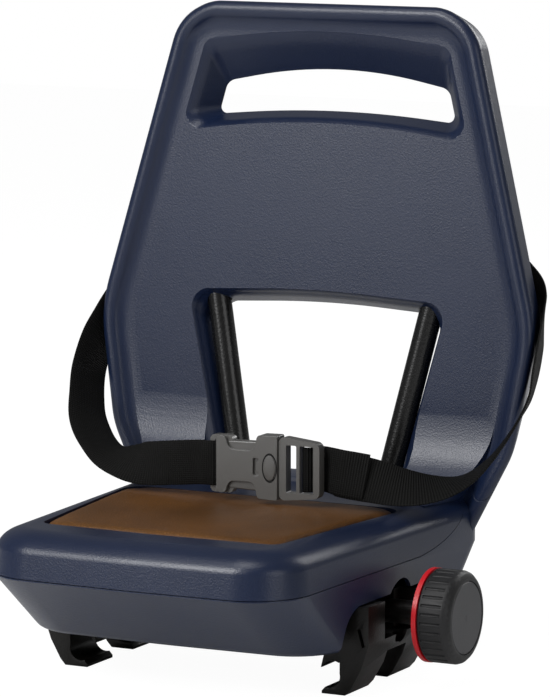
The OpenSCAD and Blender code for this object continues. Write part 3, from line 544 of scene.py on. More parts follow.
def seat_solid(w, steps, n):
    """Tub and seat top in one, drawn in by w all round"""
    e, r = TUB_EDGE, SEAT_EDGE_R
    turns = 6 if steps > 4 else 1
    rings = []
    for i in range(turns + 1):
        a = math.radians(90 * i / turns)
        rings.append(tub_ring(TUB_Z + w + e * 0.9 * (1 - math.cos(a)), w + e * 0.8 * (1 - math.sin(a)), n))
    rings.append(tub_ring(SEAM_Z, w, n))
    for i in range(steps + 1):
        a = math.pi / 2 * i / steps
        rings.append(top_ring(SEAT_TOP - r + (r - w) * math.sin(a), w + r * 1.5 * (1 - math.cos(a)), n))
    return loft("seat", rings)


def slab_x(name, outline, x0, x1):
    """A prism along X from an outline in Y and Z"""
    return loft(name, [[(x, p[0], p[1]) for p in outline] for x in (x0, x1)])


def curve_at(way, t):
    """The point at t on the curve of four control points"""
    k = [(1 - t) ** 3, 3 * (1 - t) ** 2 * t, 3 * (1 - t) * t * t, t ** 3]
    return sum(a * b for a, b in zip(k, way))


def blend_solid(w, n):
    """Hollow sweep from the seat's top up into the backrest, w behind the face"""
    up = np.array([math.sin(LEAN), math.cos(LEAN)])
    foot = np.array([BACK_Y - SWEEP_RUN, SEAT_TOP - 0.25])
    head = np.array([BACK_Y + 0.4, SEAT_TOP]) + up * SWEEP_RISE
    way = [foot, foot + (SWEEP_PULL[0], 0), head - up * SWEEP_PULL[1], head]
    arc = []
    for i in range(n + 1):
        t = i / n
        d = [-(1 - t) ** 2, (1 - t) ** 2 - 2 * (1 - t) * t, 2 * (1 - t) * t - t * t, t * t]
        q, g = curve_at(way, t), sum(a * b for a, b in zip(d, way))
        arc.append(list(q + np.array([g[1], -g[0]]) / np.linalg.norm(g) * w))
    low, far = SEAT_TOP - SWEEP_DEPTH, BACK_Y + SWEEP_DEPTH
    o = slab_x("blend", [[BACK_Y - SWEEP_RUN, low]] + arc + [[far, SEAT_TOP + SWEEP_RISE - 4], [far, low]],
               -ASIDE, ASIDE)
    outline = back_outline(12 if n > 8 else 4)
    flat = inset(outline, w + 5 + DRAFT * 4 / (BACK_T + BEAD_H))
    front = [on_back((p[0] * SWEEP_NARROW, -70, p[1])) for p in flat]
    cut(o, loft("keep", [back_ring(outline, w + 1, BACK_T - 2), front]), "INTERSECT")
    return o


def roundover(d, r):
    """How far a rim draws back at depth d, for a rounding that starts r behind the face"""
    if d >= r:
        return 0.0
    x = (r - d) / (r * 1.5)
    return r * 1.5 * (1 - math.sqrt(1 - min(x, 0.86) ** 2)) + max(0, x - 0.86) * r * 0.5


def handle_cutter(g, fine):
    """The hand recess and its hole, grown by g"""
    def ring(d, t, out):
        foot, head = mix(*HAND_FOOT, t) / 2 + out, mix(*HAND_HEAD, t) / 2 + out
        s0, s1 = mix(*HAND_LOW, t) - out, mix(*HAND_HIGH, t) + out
        lift, sill = mix(*HAND_LIFT, t), mix(*HAND_SILL, t)
        low, r = mix(*HAND_LOW_R, t) + g, HAND_HIGH_R + g
        flat = rounded([[0, s0 - g + sill], [foot + g, s0 - g], [head + g, s1 + g], [0, s1 + g + lift],
                        [-head - g, s1 + g], [-foot - g, s0 - g]],
                       [ARCH_SHARE * foot * foot / sill, low, r, ARCH_SHARE * head * head / lift, r, low],
                       16 if fine else 4)
        return [on_back((p[0], d, p[1])) for p in flat]
    if not fine:
        return loft("handle", [ring(38, 1, 10), ring(20, 1, 0), ring(4, 0.2, 0), ring(0.6, 0, 0.9),
                               ring(-12, 0, 6)])
    rings = [ring(38, 1, 10), ring(24, 1, 2.2), ring(21.5, 1, 0.5)]
    for d in (20, 18, 15, 12, 9, 7, 6, 5, 4, 3, 2, 1.2, 0.5, 0, -1, -2, -4, -7, -12):
        rings.append(ring(d, max(0, min(1, d / HAND_DEPTH)), roundover(d, HAND_ROUND)))
    return loft("handle", rings)


def window_cutter(g, fine):
    """The window through both shells, grown by g"""
    def ring(d, out):
        foot, head = WINDOW_FOOT + out + g, WINDOW_HEAD + out + g
        s0, s1, r = WINDOW_LOW - out * 0.2 - g, WINDOW_HIGH + out + g, WINDOW_R + g
        flat = rounded([[foot, s0], [head, s1], [0, s1 + WINDOW_ARCH], [-head, s1], [-foot, s0]],
                       [r, r, WINDOW_ARCH_R, r, r], 12 if fine else 4)
        return [on_back((p[0], d, p[1])) for p in flat]
    if not fine:
        return loft("window", [ring(38, -5.5), ring(19, -5), ring(4, 0.6), ring(1.5, 1.8), ring(-0.5, 4.4),
                               ring(-8, 9.8), ring(-40, 11)])
    rings = [ring(38, -5.5), ring(30, -5.2)]
    for d in (24, 19, 15, 12, 10, 8.5, 7, 5.5, 4, 3, 2, 1.2, 0.5, 0, -1, -2, -4, -8):
        rings.append(ring(d, -5 * max(0, min(1, (d - 4) / 15)) + roundover(d, WINDOW_ROUND)))
    rings.append(ring(-40, 8))
    return loft("window", rings)


def pad_outline(g, n):
    """The pad's plan, grown by g"""
    rear = PAD_HALF + (PAD_FRONT + PAD_REAR) * math.tan(PAD_FLARE)
    x, y = PAD_HALF + g, -PAD_FRONT - g
    return rounded([[0, y - PAD_NOSE], [x, y], [rear + g, PAD_REAR + g], [-rear - g, PAD_REAR + g], [-x, y]],
                   [500, 9, 14, 14, 9], n)


def seam_side(side):
    """Side view of the seam between the shells, moved by half the gap"""
    h, lean = side * GAP / 2, math.tan(LEAN)
    behind = BACK_Y + BACK_SEAM
    way = [np.array(p) for p in ((26, SEAM_Z + 2), (BACK_Y - 6, SEAM_Z + 8), (BACK_Y + 6, SEAT_TOP + 2),
                                 (behind + 8 * lean, SEAT_TOP + 62))]
    line = [[-AWAY, SEAM_Z + h], [26, SEAM_Z + 2 + h]]
    for i in range(1, 28):
        t = i / 28
        line.append(list(curve_at(way, t) + np.array([-h * t, h * (1 - t)])))
    return line + [[behind + 62 * lean - h, SEAT_TOP + 62], [behind + ABOVE * lean - h, SEAT_TOP + ABOVE]]


def rod(name, a, b, r, n):
    """A round rod from a to b, in millimetres"""
    a, b = Vector(a), Vector(b)
    bpy.ops.object.select_all(action="DESELECT")
    bpy.ops.mesh.primitive_cylinder_add(vertices=n, radius=r * MM, depth=(b - a).length * MM,
                                        location=(a + b) / 2 * MM)
    o = bpy.context.object
    o.name = name
    o.rotation_mode = "QUATERNION"
    o.rotation_quaternion = (b - a).to_track_quat("Z", "Y")
    bpy.ops.object.transform_apply(location=True, rotation=True, scale=True)
    return o


def tube_line(side):
    """Two points on the axis of a frame tube's straight leg"""
    lean, splay = math.radians(TUBE_LEAN), math.radians(TUBE_SPLAY) * side
    d = np.array([0, math.sin(lean), math.cos(lean)])
    d = np.array([d[2] * math.sin(splay), d[1], d[2] * math.cos(splay)])
    foot = np.array([side * TUBE_FOOT[0], TUBE_FOOT[1], TUBE_FOOT[2]])
    return foot + d * TUBE_FROM, foot + d * TUBE_TO


def plate_box(name, lo, hi):
    """A plain block used as a cutter"""
    return loft(name, [[(lo[0], lo[1], z), (hi[0], lo[1], z), (hi[0], hi[1], z), (lo[0], hi[1], z)]
                       for z in (lo[2], hi[2])])


def shell_form(fine):
    """The body of both shells; the plain one is what is hollow inside"""
    n, w = (12, 0) if fine else (4, WALL)
    o = seat_solid(w, 14 if fine else 2, n)
    cut(o, back_solid(n, fine), "UNION")
    cut(o, blend_solid(w, 24 if fine else 6), "UNION")
    cut(o, handle_cutter(w, fine))
    cut(o, window_cutter(w, fine))
    bed = SEAT_TOP - PAD_BED - w
    cut(o, loft("bed", [[(p[0], p[1], z) for p in pad_outline(PAD_SLACK + w, n)] for z in (bed, bed + 40)]))
    return o


def jaw_ways(o):
    """Room in the tub for the jaws, the clamp base and the knob's spindle"""
    cut(o, plate_box("way", (-JAW_WAY_X, -JAW_HALF, -1), (JAW_WAY_X, JAW_HALF, TUB_Z + WALL + 2.5)))
    side = [[-69, 0], [JAW_HALF + 3, 0], [JAW_HALF, 36], [JAW_HALF - 4, 41]]
    side += [list(p) for p in smooth_line([[-50, 39], [-58, 35], [-64, 26], [-69, 0]], 4)[:-1]]
    for a, b in ((FLANK_FROM, FLANK_TO), (-FLANK_TO, -FLANK_FROM)):
        cut(o, slab_x("flank", side, a, b))
    cut(o, rod("arch", (0, KNOB_ARCH_Y, KNOB_ARCH_Z), (FLANK_TO, KNOB_ARCH_Y, KNOB_ARCH_Z), KNOB_ARCH_R, 40))


class SEAT_OT_shells(bpy.types.Operator):
    """The two moulded shells with their rolled rim, hand recess, window and seam"""
    bl_idname = "bike_seat.shells"
    bl_label = "Shells"

    def execute(self, context):
        form = shell_form(True)
        form.name = "front"
        cut(form, shell_form(False))
        rear = bpy.data.objects.new("rear", form.data.copy())
        context.scene.collection.objects.link(rear)
        cut(form, slab_x("ahead", seam_side(1) + [[-AWAY, SEAT_TOP + ABOVE]], -ASIDE, ASIDE), "INTERSECT")
        cut(rear, slab_x("behind", seam_side(-1) + [[AWAY, SEAT_TOP + ABOVE], [AWAY, -60], [-AWAY, -60]],
                         -ASIDE, ASIDE), "INTERSECT")
        jaw_ways(rear)
        for side in (-1, 1):
            a, b = tube_line(side)
            for o in (form, rear):
                cut(o, rod("leg", a, b, TUBE_WAY_R, 40))
            for x, s in BACK_HEADS:
                a, b = (on_back((side * x, d, s)) for d in BACK_HEAD_D)
                cut(rear, rod("head", a, b, BACK_HEAD_R, 24))
            for x, y in TUB_HEADS:
                a, b = ((side * x, y, z) for z in TUB_HEAD_Z)
                cut(rear, rod("head", a, b, TUB_HEAD_R, 24))
        for o, cads, name in ((form, ("front_shell",), "shell_front"),
                              (rear, ("tub_shell", "back_cover"), "shell_rear")):
            o.name = o.data.name = name
            shade(o, 32)
            even_normals(o)
            finish_of(o, "shell")
            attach(o, "seat")
            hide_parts(*cads)
        return {"FINISHED"}


class SEAT_OT_pad(bpy.types.Operator):
    """The leather-look seat pad, blown up a little by cloth pressure and set in its bed"""
    bl_idname = "bike_seat.pad"
    bl_label = "Pad"

    def execute(self, context):
        crown = context.scene.bike_seat.pad_crown
        bed = SEAT_TOP - PAD_SUNK
        o = loft("seat_pad_skin", [[(p[0], p[1], z) for p in pad_outline(g, 10)]
                                   for z, g in ((bed, -1), (SEAT_TOP - 1.0, -0.5), (SEAT_TOP - 0.3, -0.8),
                                                (SEAT_TOP + 0.1, -1.6))])
        pick(o)
        m = o.modifiers.new("even", "REMESH")
        m.mode = "VOXEL"
        m.voxel_size = PAD_VOXEL
        bpy.ops.object.modifier_apply(modifier=m.name)
        start = np.array([v.co for v in o.data.vertices])
        m = o.modifiers.new("swell", "CLOTH")
        c = m.settings
        c.use_pressure = True
        c.uniform_pressure_force = PAD_PRESSURE
        c.effector_weights.gravity = 0
        c.tension_stiffness = c.compression_stiffness = PAD_STIFF
        for f in range(1, PAD_FRAMES + 1):
            context.scene.frame_set(f)
        bpy.ops.object.modifier_apply(modifier=m.name)
        context.scene.frame_set(1)
        now = np.array([v.co for v in o.data.vertices])
        step = now - start
        size = np.linalg.norm(step, axis=1, keepdims=True)
        step *= np.minimum(1, crown / np.maximum(size, 1e-9))
        now = start + step
        now[:, 2] = np.where(start[:, 2] < (bed + 1) * MM, start[:, 2], now[:, 2])
        for v, p in zip(o.data.vertices, now):
            v.co = p
        m = o.modifiers.new("ease", "SMOOTH")
        m.factor, m.iterations = 0.5, 5
        bpy.ops.object.modifier_apply(modifier=m.name)
        m = o.modifiers.new("finer", "SUBSURF")
        m.levels = m.render_levels = 1
        bpy.ops.object.modifier_apply(modifier=m.name)
        outward(o)
        bpy.ops.object.shade_smooth()
        finish_of(o, "leather")
        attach(o, "seat")
        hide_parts("seat_pad")
        return {"FINISHED"}


# Belt: places of the webbing's middle and directions of its width

DOWN = (0, 0, -1)
BELT_W, BELT_T, LOOSE_T, ROUTE_STEPS = 29.4, 1.6, 1.4, 10
HANG = [
    ((114, 148.5, 240.5), (0.67, 0, 0.74)), ((128, 148.3, 228.5), (0.64, 0, 0.76)),
    ((141, 146.5, 217), (0.6, -0.1, 0.8)), ((151.5, 141.5, 207), (0.45, -0.45, 0.75)),
    ((157.5, 132, 197), (0.32, -0.7, 0.63)), ((161, 119.5, 184.5), (0.28, -0.8, 0.5))]
RIGHT_RUN = [
    ((163.5, 104.5, 167.5), (0.3, -0.87, 0.38)), ((164, 91, 151.5), (0.38, -0.88, 0.22)),
    ((158.5, 78, 134), (0.4, -0.9, 0.12)), ((150, 64, 117.5), (0.42, -0.9, 0.05)),
    ((139, 50, 106), (0.45, -0.88, -0.1)), ((124, 38, 101.5), (0.4, -0.82, -0.42)),
    ((106, 28, 102), (0.25, -0.65, -0.7)), ((86, 21, 106), (0.1, -0.42, -0.9)),
    ((68, 16.5, 109), (0, -0.12, -0.99)),
    ((61, 18, 110), DOWN), ((54, 20.6, 110.8), DOWN), ((49.4, 18.6, 111), DOWN)]
LEFT_RUN = [
    ((-163, 106, 170), (-0.3, -0.88, 0.35)), ((-160.5, 90, 152), (-0.28, -0.94, 0.18)),
    ((-153, 74, 136), (-0.2, -0.98, 0.02)), ((-144, 60, 124), (-0.2, -0.97, -0.08)),
    ((-131, 46, 114.5), (-0.17, -0.97, -0.1)), ((-115, 34, 107.5), (0.1, -0.9, -0.24)),
    ((-97, 25.5, 105), (0.2, -0.8, -0.56)), ((-78, 20, 105), (0.15, -0.4, -0.9)),
    ((-52, 16, 108), (0, -0.08, -1)),
    ((-38, 13.4, 109.8), DOWN), ((-30, 10.2, 110.8), DOWN), ((-25.5, 8.9, 111), DOWN),
    ((-21.6, 9.1, 111), DOWN), ((-19.4, 11.6, 111), DOWN), ((-19, 15, 111), DOWN)]
LOOP = [
    ((50.5, 17.2, 111), DOWN), ((47.6, 14.6, 111), DOWN), ((44.6, 12.4, 111), DOWN),
    ((41.8, 12.6, 111), DOWN)]
TAIL = [
    ((50.6, 18.8, 111.6), DOWN), ((55, 18.9, 111.6), DOWN), ((61, 16.1, 111.4), (0, -0.1, -1)),
    ((68, 14.7, 110.8), (0, -0.12, -0.99)), ((76, 16.1, 109.8), (0.03, -0.2, -0.97)),
    ((84, 18.3, 108.6), (0.07, -0.3, -0.95))]


def ribbon(name, route, width, thick):
    """Flat webbing along a route of places and width directions, with its own weave map.
    Gives the piece and its length in metres."""
    mids = smooth_line([r[0] for r in route], ROUTE_STEPS)
    ways = smooth_line([r[1] for r in route], ROUTE_STEPS)
    m = len(mids)
    across = [-0.5, -0.47, -0.25, 0, 0.25, 0.47, 0.5]
    depth = [0.25, 0.5, 0.5, 0.5, 0.5, 0.5, 0.25]
    loop = [(a, d) for a, d in zip(across, depth)] + [(a, -d) for a, d in zip(across[::-1], depth[::-1])]
    verts, run, length = [], [], 0.0
    for i in range(m):
        t = mids[min(i + 1, m - 1)] - mids[max(i - 1, 0)]
        w = ways[i] - t * (ways[i] @ t) / (t @ t)
        w /= np.linalg.norm(w)
        n = np.cross(t, w)
        n /= np.linalg.norm(n)
        if i:
            length += float(np.linalg.norm(mids[i] - mids[i - 1]))
        run.append(length * MM)
        verts += [tuple(mids[i] + w * width * a + n * thick * d) for a, d in loop]
    k = len(loop)
    faces = [tuple(range(k)), tuple((m - 1) * k + i for i in range(k))[::-1]]
    for j in range(m - 1):
        for i in range(k):
            a, b = j * k + i, j * k + (i + 1) % k
            faces.append((a, a + k, b + k, b))
    o = mesh_piece(name, verts, faces)
    outward(o)
    uv = o.data.uv_layers.new(name="Weave")
    for poly in o.data.polygons:
        for li in poly.loop_indices:
            vi = o.data.loops[li].vertex_index
            uv.data[li].uv = (loop[vi % k][0] + 0.5, run[vi // k])
    shade(o, 50)
    return o, run[-1]


def flipped(route):
    """The same route on the other side"""
    return [((-p[0], p[1], p[2]), (-w[0], w[1], w[2])) for p, w in route]


class SEAT_OT_belt(bpy.types.Operator):
    """The webbing from its brackets to the buckle, with the loop and the loose tail"""
    bl_idname = "bike_seat.belt"
    bl_label = "Belt"

    def execute(self, context):
        for name, route, cad, body, rests in (
                ("belt_left_webbing", flipped(HANG) + LEFT_RUN, ("belt_left",), "seat", ["belt_anchor_left"]),
                ("belt_right_webbing", HANG + RIGHT_RUN, ("belt_right",), None, ["belt_anchor_right"]),
                ("belt_loop", LOOP, (), "clip", ["buckle_clip"]),
                ("belt_tail", TAIL, (), "clip", ["belt_right_webbing"])):
            o, length = ribbon(name, route, BELT_W, BELT_T if cad else LOOSE_T)
            finish_of(o, "webbing")
            if body:
                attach(o, body)
            else:
                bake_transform(o)
            if cad:
                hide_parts(*cad)
        return {"FINISHED"}


# Buckle, about its middle: X along the belt, height across it

BUCKLE_Y, BUCKLE_Z, PART_X = 13.2, 111.0, 25.3
BODY_HALF_T, GRIP_HALF_T, BAR_HALF_T, MOUTH_HALF_T, TONGUE_HALF_T = 5.5, 3.4, 3.0, 2.6, 2.2
BODY_TOP = [[-19.4, 18.8], [-12.6, 18.8], [-10.5, 10.4], [8.4, 10.2], [10.4, 20.9], [PART_X - 0.3, 21.2]]
BODY_RADII = [3, 3.4, 5.5, 5.5, 3, 1.2]
CATCH_SLOT = [[7.4, -6], [11.6, -5.6], [11.6, -3.4], [9.6, -3], [9.6, 3], [11.6, 3.4], [11.6, 5.6], [7.4, 6]]
CATCH_RADII = [1.6, 0.6, 0.6, 0.5, 0.5, 0.6, 0.6, 1.6]
CLIP_END, CLIP_FRONT_T, CLIP_REAR_T = 54.8, 3.8, 3.4
CLIP_SLOTS, CLIP_SLOT_H = ((5.4, 12.8), (15.2, 25)), 15.6
TONGUES, MIDDLE_TONGUE_X, SIDE_TONGUE_X = ((-10.8, -6), (-2.5, 2.5), (6, 10.8)), 14, 3
BUTTON_X, BUTTON_RX, BUTTON_RZ, GROOVE_RX, GROOVE_RZ = 19.6, 4.4, 8.2, 5.1, 9.0


def plate(name, outline, y0, y1):
    """A flat moulding from an outline in X and height about the buckle's middle"""
    return loft(name, [[(p[0], y, BUCKLE_Z + p[1]) for p in outline] for y in (y0, y1)])


def box_outline(x0, x1, h0, h1, r, n=6):
    """Four-cornered outline, h0 high at x0 and h1 at x1"""
    return rounded([[x0, -h0], [x1, -h1], [x1, h1], [x0, h0]], [r] * 4, n)


class SEAT_OT_buckle(bpy.types.Operator):
    """The side-release buckle: webbing bar, waisted socket, side grips, push button and slotted clip"""
    bl_idname = "bike_seat.buckle"
    bl_label = "Buckle"

    def execute(self, context):
        y = BUCKLE_Y
        bar = plate("buckle_bar", box_outline(-25, -8, 19, 19, 3.5), y - BAR_HALF_T, y + BAR_HALF_T)
        cut(bar, plate("slot", box_outline(-21.5, -17.2, 15.8, 15.8, 1.2), y - 9, y + 9))
        grips = plate("buckle_grips", box_outline(-14, 16, 15.6, 16.4, 3), y - GRIP_HALF_T, y + GRIP_HALF_T)
        cut(grips, plate("slot", box_outline(-9, 15.9, 9, 9, 1.5), y - MOUTH_HALF_T, y + MOUTH_HALF_T))
        outline = rounded([[x, -z] for x, z in BODY_TOP] + BODY_TOP[::-1], BODY_RADII + BODY_RADII[::-1], 7)
        body = plate("buckle_body", outline, y - BODY_HALF_T, y + BODY_HALF_T)
        cut(body, plate("mouth", box_outline(-5, 60, 11.6, 11.6, 1), y - MOUTH_HALF_T, y + MOUTH_HALF_T))
        cut(body, plate("slot", rounded(CATCH_SLOT, CATCH_RADII, 4), y - 7, y - 3.6))
        clip = plate("buckle_clip_body", box_outline(PART_X, CLIP_END, 21.2, 18, 4.5, 8),
                     y - CLIP_FRONT_T, y + CLIP_REAR_T)
        h = CLIP_SLOT_H
        for x0, x1 in CLIP_SLOTS:
            cut(clip, plate("slot", box_outline(PART_X + x0, PART_X + x1, h, h, 0.9), y - 9, y + 9))
        for z0, z1 in TONGUES:
            tip = MIDDLE_TONGUE_X if z0 < 0 < z1 else SIDE_TONGUE_X
            outline = rounded([[tip, z0], [PART_X + 2, z0], [PART_X + 2, z1], [tip, z1]],
                              [1.2, 0.4, 0.4, 1.2], 4)
            cut(clip, plate("tongue", outline, y - TONGUE_HALF_T, y + TONGUE_HALF_T), "UNION")
        for o, width, body_name in ((bar, 1.2, "seat"), (grips, 1.0, "seat"), (body, 1.3, "seat"),
                                    (clip, 1.1, "clip")):
            soften(o, width * MM, 50, 3)
            even_normals(o)
            finish_of(o, "buckle")
            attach(o, body_name)
        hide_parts("buckle_socket")
        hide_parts("buckle_clip")
        place = (BUTTON_X * MM, (y - BODY_HALF_T) * MM, BUCKLE_Z * MM)
        upright = (math.pi / 2, 0, 0)
        bpy.ops.object.select_all(action="DESELECT")
        bpy.ops.mesh.primitive_cylinder_add(vertices=48, radius=1, depth=1.2, rotation=upright,
                                            location=place)
        self.set_round(context.object, "buckle_button", (BUTTON_RX * MM, BUTTON_RZ * MM, MM))
        soften(context.object, 0.0004, 40, 3)
        finish_of(context.object, "buckle")
        bpy.ops.object.select_all(action="DESELECT")
        bpy.ops.mesh.primitive_torus_add(major_segments=56, minor_segments=10, major_radius=1,
                                         minor_radius=0.5 / 7, rotation=upright, location=place)
        self.set_round(context.object, "buckle_groove", (GROOVE_RX * MM, GROOVE_RZ * MM, 4 * MM))
        bpy.ops.object.shade_smooth()
        finish_of(context.object, "webbing_edge")
        return {"FINISHED"}

    def set_round(self, o, name, scale):
        """Sizes an oval piece on the socket's face"""
        o.name = name
        o.scale = scale
        bpy.ops.object.transform_apply(location=True, rotation=True, scale=True)
        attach(o, "seat")


# Clamp: the right jaw's recess for the sleeve, its eye and its slit

RECESS = ((106, -24, 13.5), (125, 24, 45))
EYE_X, EYE_Y, EYE_Z, EYE_R = (106, 125), -2, 12.5, 5
SLIT, SLIT_Y = ((110.2, 23), (112.2, 23.6), (115.4, 12.4), (113.4, 11.8)), (-49, -43)


class SEAT_OT_clamp(bpy.types.Operator):
    """The clamp base and both jaws with softened edges"""
    bl_idname = "bike_seat.clamp"
    bl_label = "Clamp"

    def execute(self, context):
        for cad, body in (("jaw_left", "seat"), ("jaw_right", "jaw"), ("clamp_base", "seat")):
            o = copy_of(cad, cad + "_dressed")
            if cad == "jaw_right":
                cut(o, plate_box("recess", *RECESS))
                cut(o, rod("eye", (EYE_X[0], EYE_Y, EYE_Z), (EYE_X[1], EYE_Y, EYE_Z), EYE_R, 40))
                cut(o, loft("slit", [[(x, y, z) for x, z in SLIT] for y in SLIT_Y]))
            soften(o, 0.0008, 40, 2)
            finish_of(o, "clamp")
            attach(o, body)
            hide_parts(cad)
        return {"FINISHED"}


class SEAT_OT_knob(bpy.types.Operator):
    """The knob with its grip grooves and softened edges"""
    bl_idname = "bike_seat.knob"
    bl_label = "Knob"

    def execute(self, context):
        o = copy_of("knob", "knob_dressed")
        soften(o, 0.0005, 35, 2)
        finish_of(o, "knob")
        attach(o, "knob")
        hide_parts("knob")
        return {"FINISHED"}


# Finishes of the CAD nodes by the start of their names, the first that fits; steel for the rest
NODE_FINISH = (
    ("frame_tube", "tube"), ("tube_saddle", "clamp"), ("spacer_sleeve", "clamp"), ("knob_ring", "ring"),
    ("buckle", "buckle"), ("belt_anchor", "tube"), ("front_shell", "shell"), ("tub_shell", "shell"),
    ("back_cover", "shell"), ("seat_pad", "leather"), ("belt", "webbing_edge"), ("jaw_left_screws", "steel"),
    ("jaw", "clamp"), ("clamp_base", "clamp"), ("knob_cap", "knob_cap"), ("knob", "knob"))


class SEAT_OT_metal(bpy.types.Operator):
    """Finishes of the tubes, saddles, screws, brackets, rods and spindle that keep their CAD shape"""
    bl_idname = "bike_seat.metal"
    bl_label = "Tubes and fittings"

    def execute(self, context):
        for name, o in NODES.items():
            finish_of(o, next((finish for start, finish in NODE_FINISH if name.startswith(start)), "steel"))
            if not o.hide_viewport:
                shade(o, 30)
        return {"FINISHED"}


# Finishes with the shared grain: size, mottle, roughness, bump and specular level
GRAINED = {
    "buckle": (0.0007, 0.12, 0.34, 0.1, 0.9), "clamp": (0.0012, 0.2, 0.36, 0.2, 0.32),
    "knob": (0.0008, 0.12, 0.5, 0.2, 0.4), "knob_cap": (0.0008, 0.1, 0.45, 0.15, 0.4),
    "ring": (0.0015, 0.08, 0.35, 0.08, 0.5), "tube": (0.0016, 0.15, 0.26, 0.1, 0.5),
    "steel": (0.002, 0.15, 0.35, 0.1, 0.5), "webbing_edge": (0.0008, 0.1, 0.7, 0.1, 0.2)}
CAP_LIGHTER = 4.2


class SEAT_OT_finishes(bpy.types.Operator):
    """Makes the materials from the settings' colours"""
    bl_idname = "bike_seat.finishes"
    bl_label = "Finishes"

    def execute(self, context):
        s = context.scene.bike_seat
        GROUPS["grain"] = grain_group()
        FINISH["shell"] = moulded("Shell plastic", s.shell_colour, s.grain_size, 0.16, 0.33, 0.17, 0.5)
        for key, name, colour in (
                ("buckle", "Buckle plastic", s.buckle_colour), ("clamp", "Clamp plastic", s.clamp_colour),
                ("knob", "Knob plastic", s.knob_colour),
                ("knob_cap", "Cap plastic", [c * CAP_LIGHTER for c in s.knob_colour]),
                ("ring", "Red ring", s.ring_colour), ("tube", "Tube paint", (0.004, 0.004, 0.004)),
                ("steel", "Zinc", (0.42, 0.42, 0.44)), ("webbing_edge", "Dark edge", (0.006, 0.006, 0.006))):
            FINISH[key] = moulded(name, colour, *GRAINED[key], metallic=float(key == "steel"))
        FINISH["leather"] = leather("Pad skin", s.pad_colour)
        FINISH["webbing"] = ribbed("Webbing", s.webbing_colour)
        return {"FINISHED"}


# Stage: metres; the camera stands where the photograph was taken from

FLOOR_Z, FLOOR_GLOW, FLOOR_SHARE, WORLD_LIGHT = -0.0202, 1.12, 0.86, 0.2
AIM = Vector((0.01107, 0.03241, 0.18553))
CAMERA_TURN, CAMERA_RISE, CAMERA_FAR = math.radians(27.0), math.radians(8.09), 2.8353
FOCAL_PX, LONG_SIDE_PX, SENSOR = 4357.5, 697, 36
LAMPS = (("key", (-0.75, -1.7, 1.35), 0.8, 27), ("fill", (1.9, -0.9, 0.8), 1.1, 6),
         ("front", (-0.62, -1.14, 0.52), 0.4, 2.0), ("top", (-0.2, -0.7, 2.0), 1.0, 11),
         ("rim", (0.5, 1.7, 1.0), 0.9, 12))


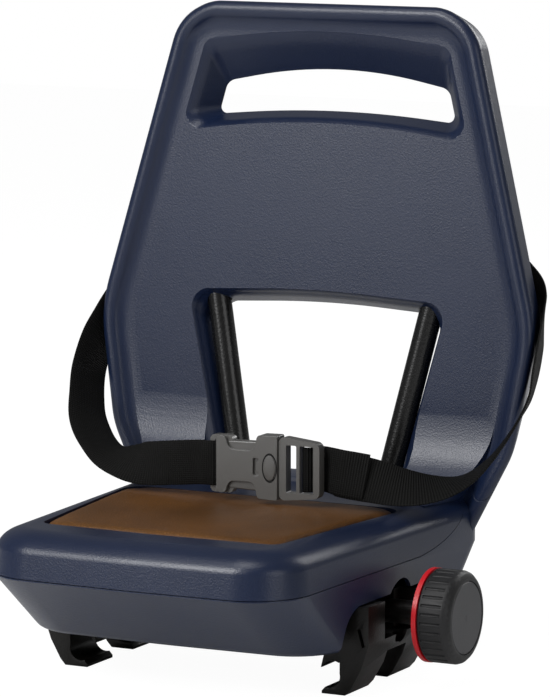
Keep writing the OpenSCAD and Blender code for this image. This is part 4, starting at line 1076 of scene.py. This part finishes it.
class SEAT_OT_stage(bpy.types.Operator):
    """Floor, soft studio light and the camera at the photograph's angle"""
    bl_idname = "bike_seat.stage"
    bl_label = "Stage"

    def execute(self, context):
        scene = context.scene
        scene.view_settings.view_transform = "Standard"
        bpy.ops.object.select_all(action="DESELECT")
        bpy.ops.mesh.primitive_plane_add(size=8, location=(0, 0, FLOOR_Z))
        floor = context.object
        floor.name = "floor"
        m, t, base = blank("Floor", (0.8, 0.8, 0.8))
        base.inputs["Base Color"].default_value = (0.82, 0.82, 0.82, 1)
        base.inputs["Roughness"].default_value = 0.9
        base.inputs["Specular IOR Level"].default_value = 0.1
        glow = node(t, "ShaderNodeEmission", 0, -200)
        glow.inputs["Color"].default_value = (1, 1, 1, 1)
        glow.inputs["Strength"].default_value = FLOOR_GLOW
        path = node(t, "ShaderNodeLightPath", -300, 300)
        seen = node(t, "ShaderNodeMath", -100, 300, operation="MULTIPLY")
        seen.inputs[1].default_value = FLOOR_SHARE
        t.links.new(path.outputs["Is Camera Ray"], seen.inputs[0])
        self.blend(t, seen, base, glow, t.nodes["Material Output"])
        floor.data.materials.append(m)

        world = bpy.data.worlds.new("Studio")
        scene.world = world
        world.use_nodes = True
        t = world.node_tree
        bg = t.nodes["Background"]
        bg.inputs["Color"].default_value = (1, 1, 1, 1)
        bg.inputs["Strength"].default_value = WORLD_LIGHT
        white = node(t, "ShaderNodeBackground", 0, -200)
        white.inputs["Color"].default_value = (1, 1, 1, 1)
        white.inputs["Strength"].default_value = 1
        path = node(t, "ShaderNodeLightPath", -300, 300)
        either = node(t, "ShaderNodeMath", -100, 300, operation="MAXIMUM")
        t.links.new(path.outputs["Is Camera Ray"], either.inputs[0])
        t.links.new(path.outputs["Is Transmission Ray"], either.inputs[1])
        self.blend(t, either, bg, white, t.nodes["World Output"])

        for name, place, size, power in LAMPS:
            bpy.ops.object.light_add(type="AREA", location=place)
            lamp = context.object
            lamp.name = name
            lamp.data.size = size
            lamp.data.energy = power
            lamp.rotation_mode = "QUATERNION"
            lamp.rotation_quaternion = (AIM - Vector(place)).to_track_quat("-Z", "Y")

        a, e = CAMERA_TURN, CAMERA_RISE
        back = Vector((math.sin(a) * math.cos(e), -math.cos(a) * math.cos(e), math.sin(e)))
        bpy.ops.object.camera_add(location=AIM + back * CAMERA_FAR)
        cam = context.object
        cam.rotation_mode = "QUATERNION"
        cam.rotation_quaternion = (-back).to_track_quat("-Z", "Y")
        cam.data.lens = FOCAL_PX / LONG_SIDE_PX * SENSOR
        cam.data.sensor_width = SENSOR
        cam.data.clip_start, cam.data.clip_end = 0.05, 50
        scene.camera = cam
        return {"FINISHED"}

    def blend(self, tree, share, first, second, output):
        """Mixes two shaders by a share and shows the result"""
        mixed = node(tree, "ShaderNodeMixShader", 200, 0)
        tree.links.new(share.outputs[0], mixed.inputs["Fac"])
        tree.links.new(first.outputs[0], mixed.inputs[1])
        tree.links.new(second.outputs[0], mixed.inputs[2])
        tree.links.new(mixed.outputs[0], output.inputs["Surface"])


STEPS = ("finishes", "shells", "pad", "belt", "buckle", "clamp", "knob", "metal", "stage")


class SEAT_PT_panel(bpy.types.Panel):
    """The seat's colours and the steps that make it"""
    bl_idname = "SEAT_PT_panel"
    bl_label = "Bike seat"
    bl_space_type = "VIEW_3D"
    bl_region_type = "UI"
    bl_category = "Bike seat"

    def draw(self, context):
        s = context.scene.bike_seat
        for name in s.bl_rna.properties.keys():
            if name not in ("rna_type", "name"):
                self.layout.prop(s, name)
        for step in STEPS:
            self.layout.operator("bike_seat." + step)


CLASSES = (SeatSettings, SEAT_OT_finishes, SEAT_OT_shells, SEAT_OT_pad, SEAT_OT_belt, SEAT_OT_buckle,
           SEAT_OT_clamp, SEAT_OT_knob, SEAT_OT_metal, SEAT_OT_stage, SEAT_PT_panel)


def register():
    for c in CLASSES:
        bpy.utils.register_class(c)
    bpy.types.Scene.bike_seat = bpy.props.PointerProperty(type=SeatSettings)


def unregister():
    del bpy.types.Scene.bike_seat
    for c in reversed(CLASSES):
        bpy.utils.unregister_class(c)


def main():
    register()
    for step in STEPS:
        getattr(bpy.ops.bike_seat, step)()


if __name__ == "__main__":
    main()
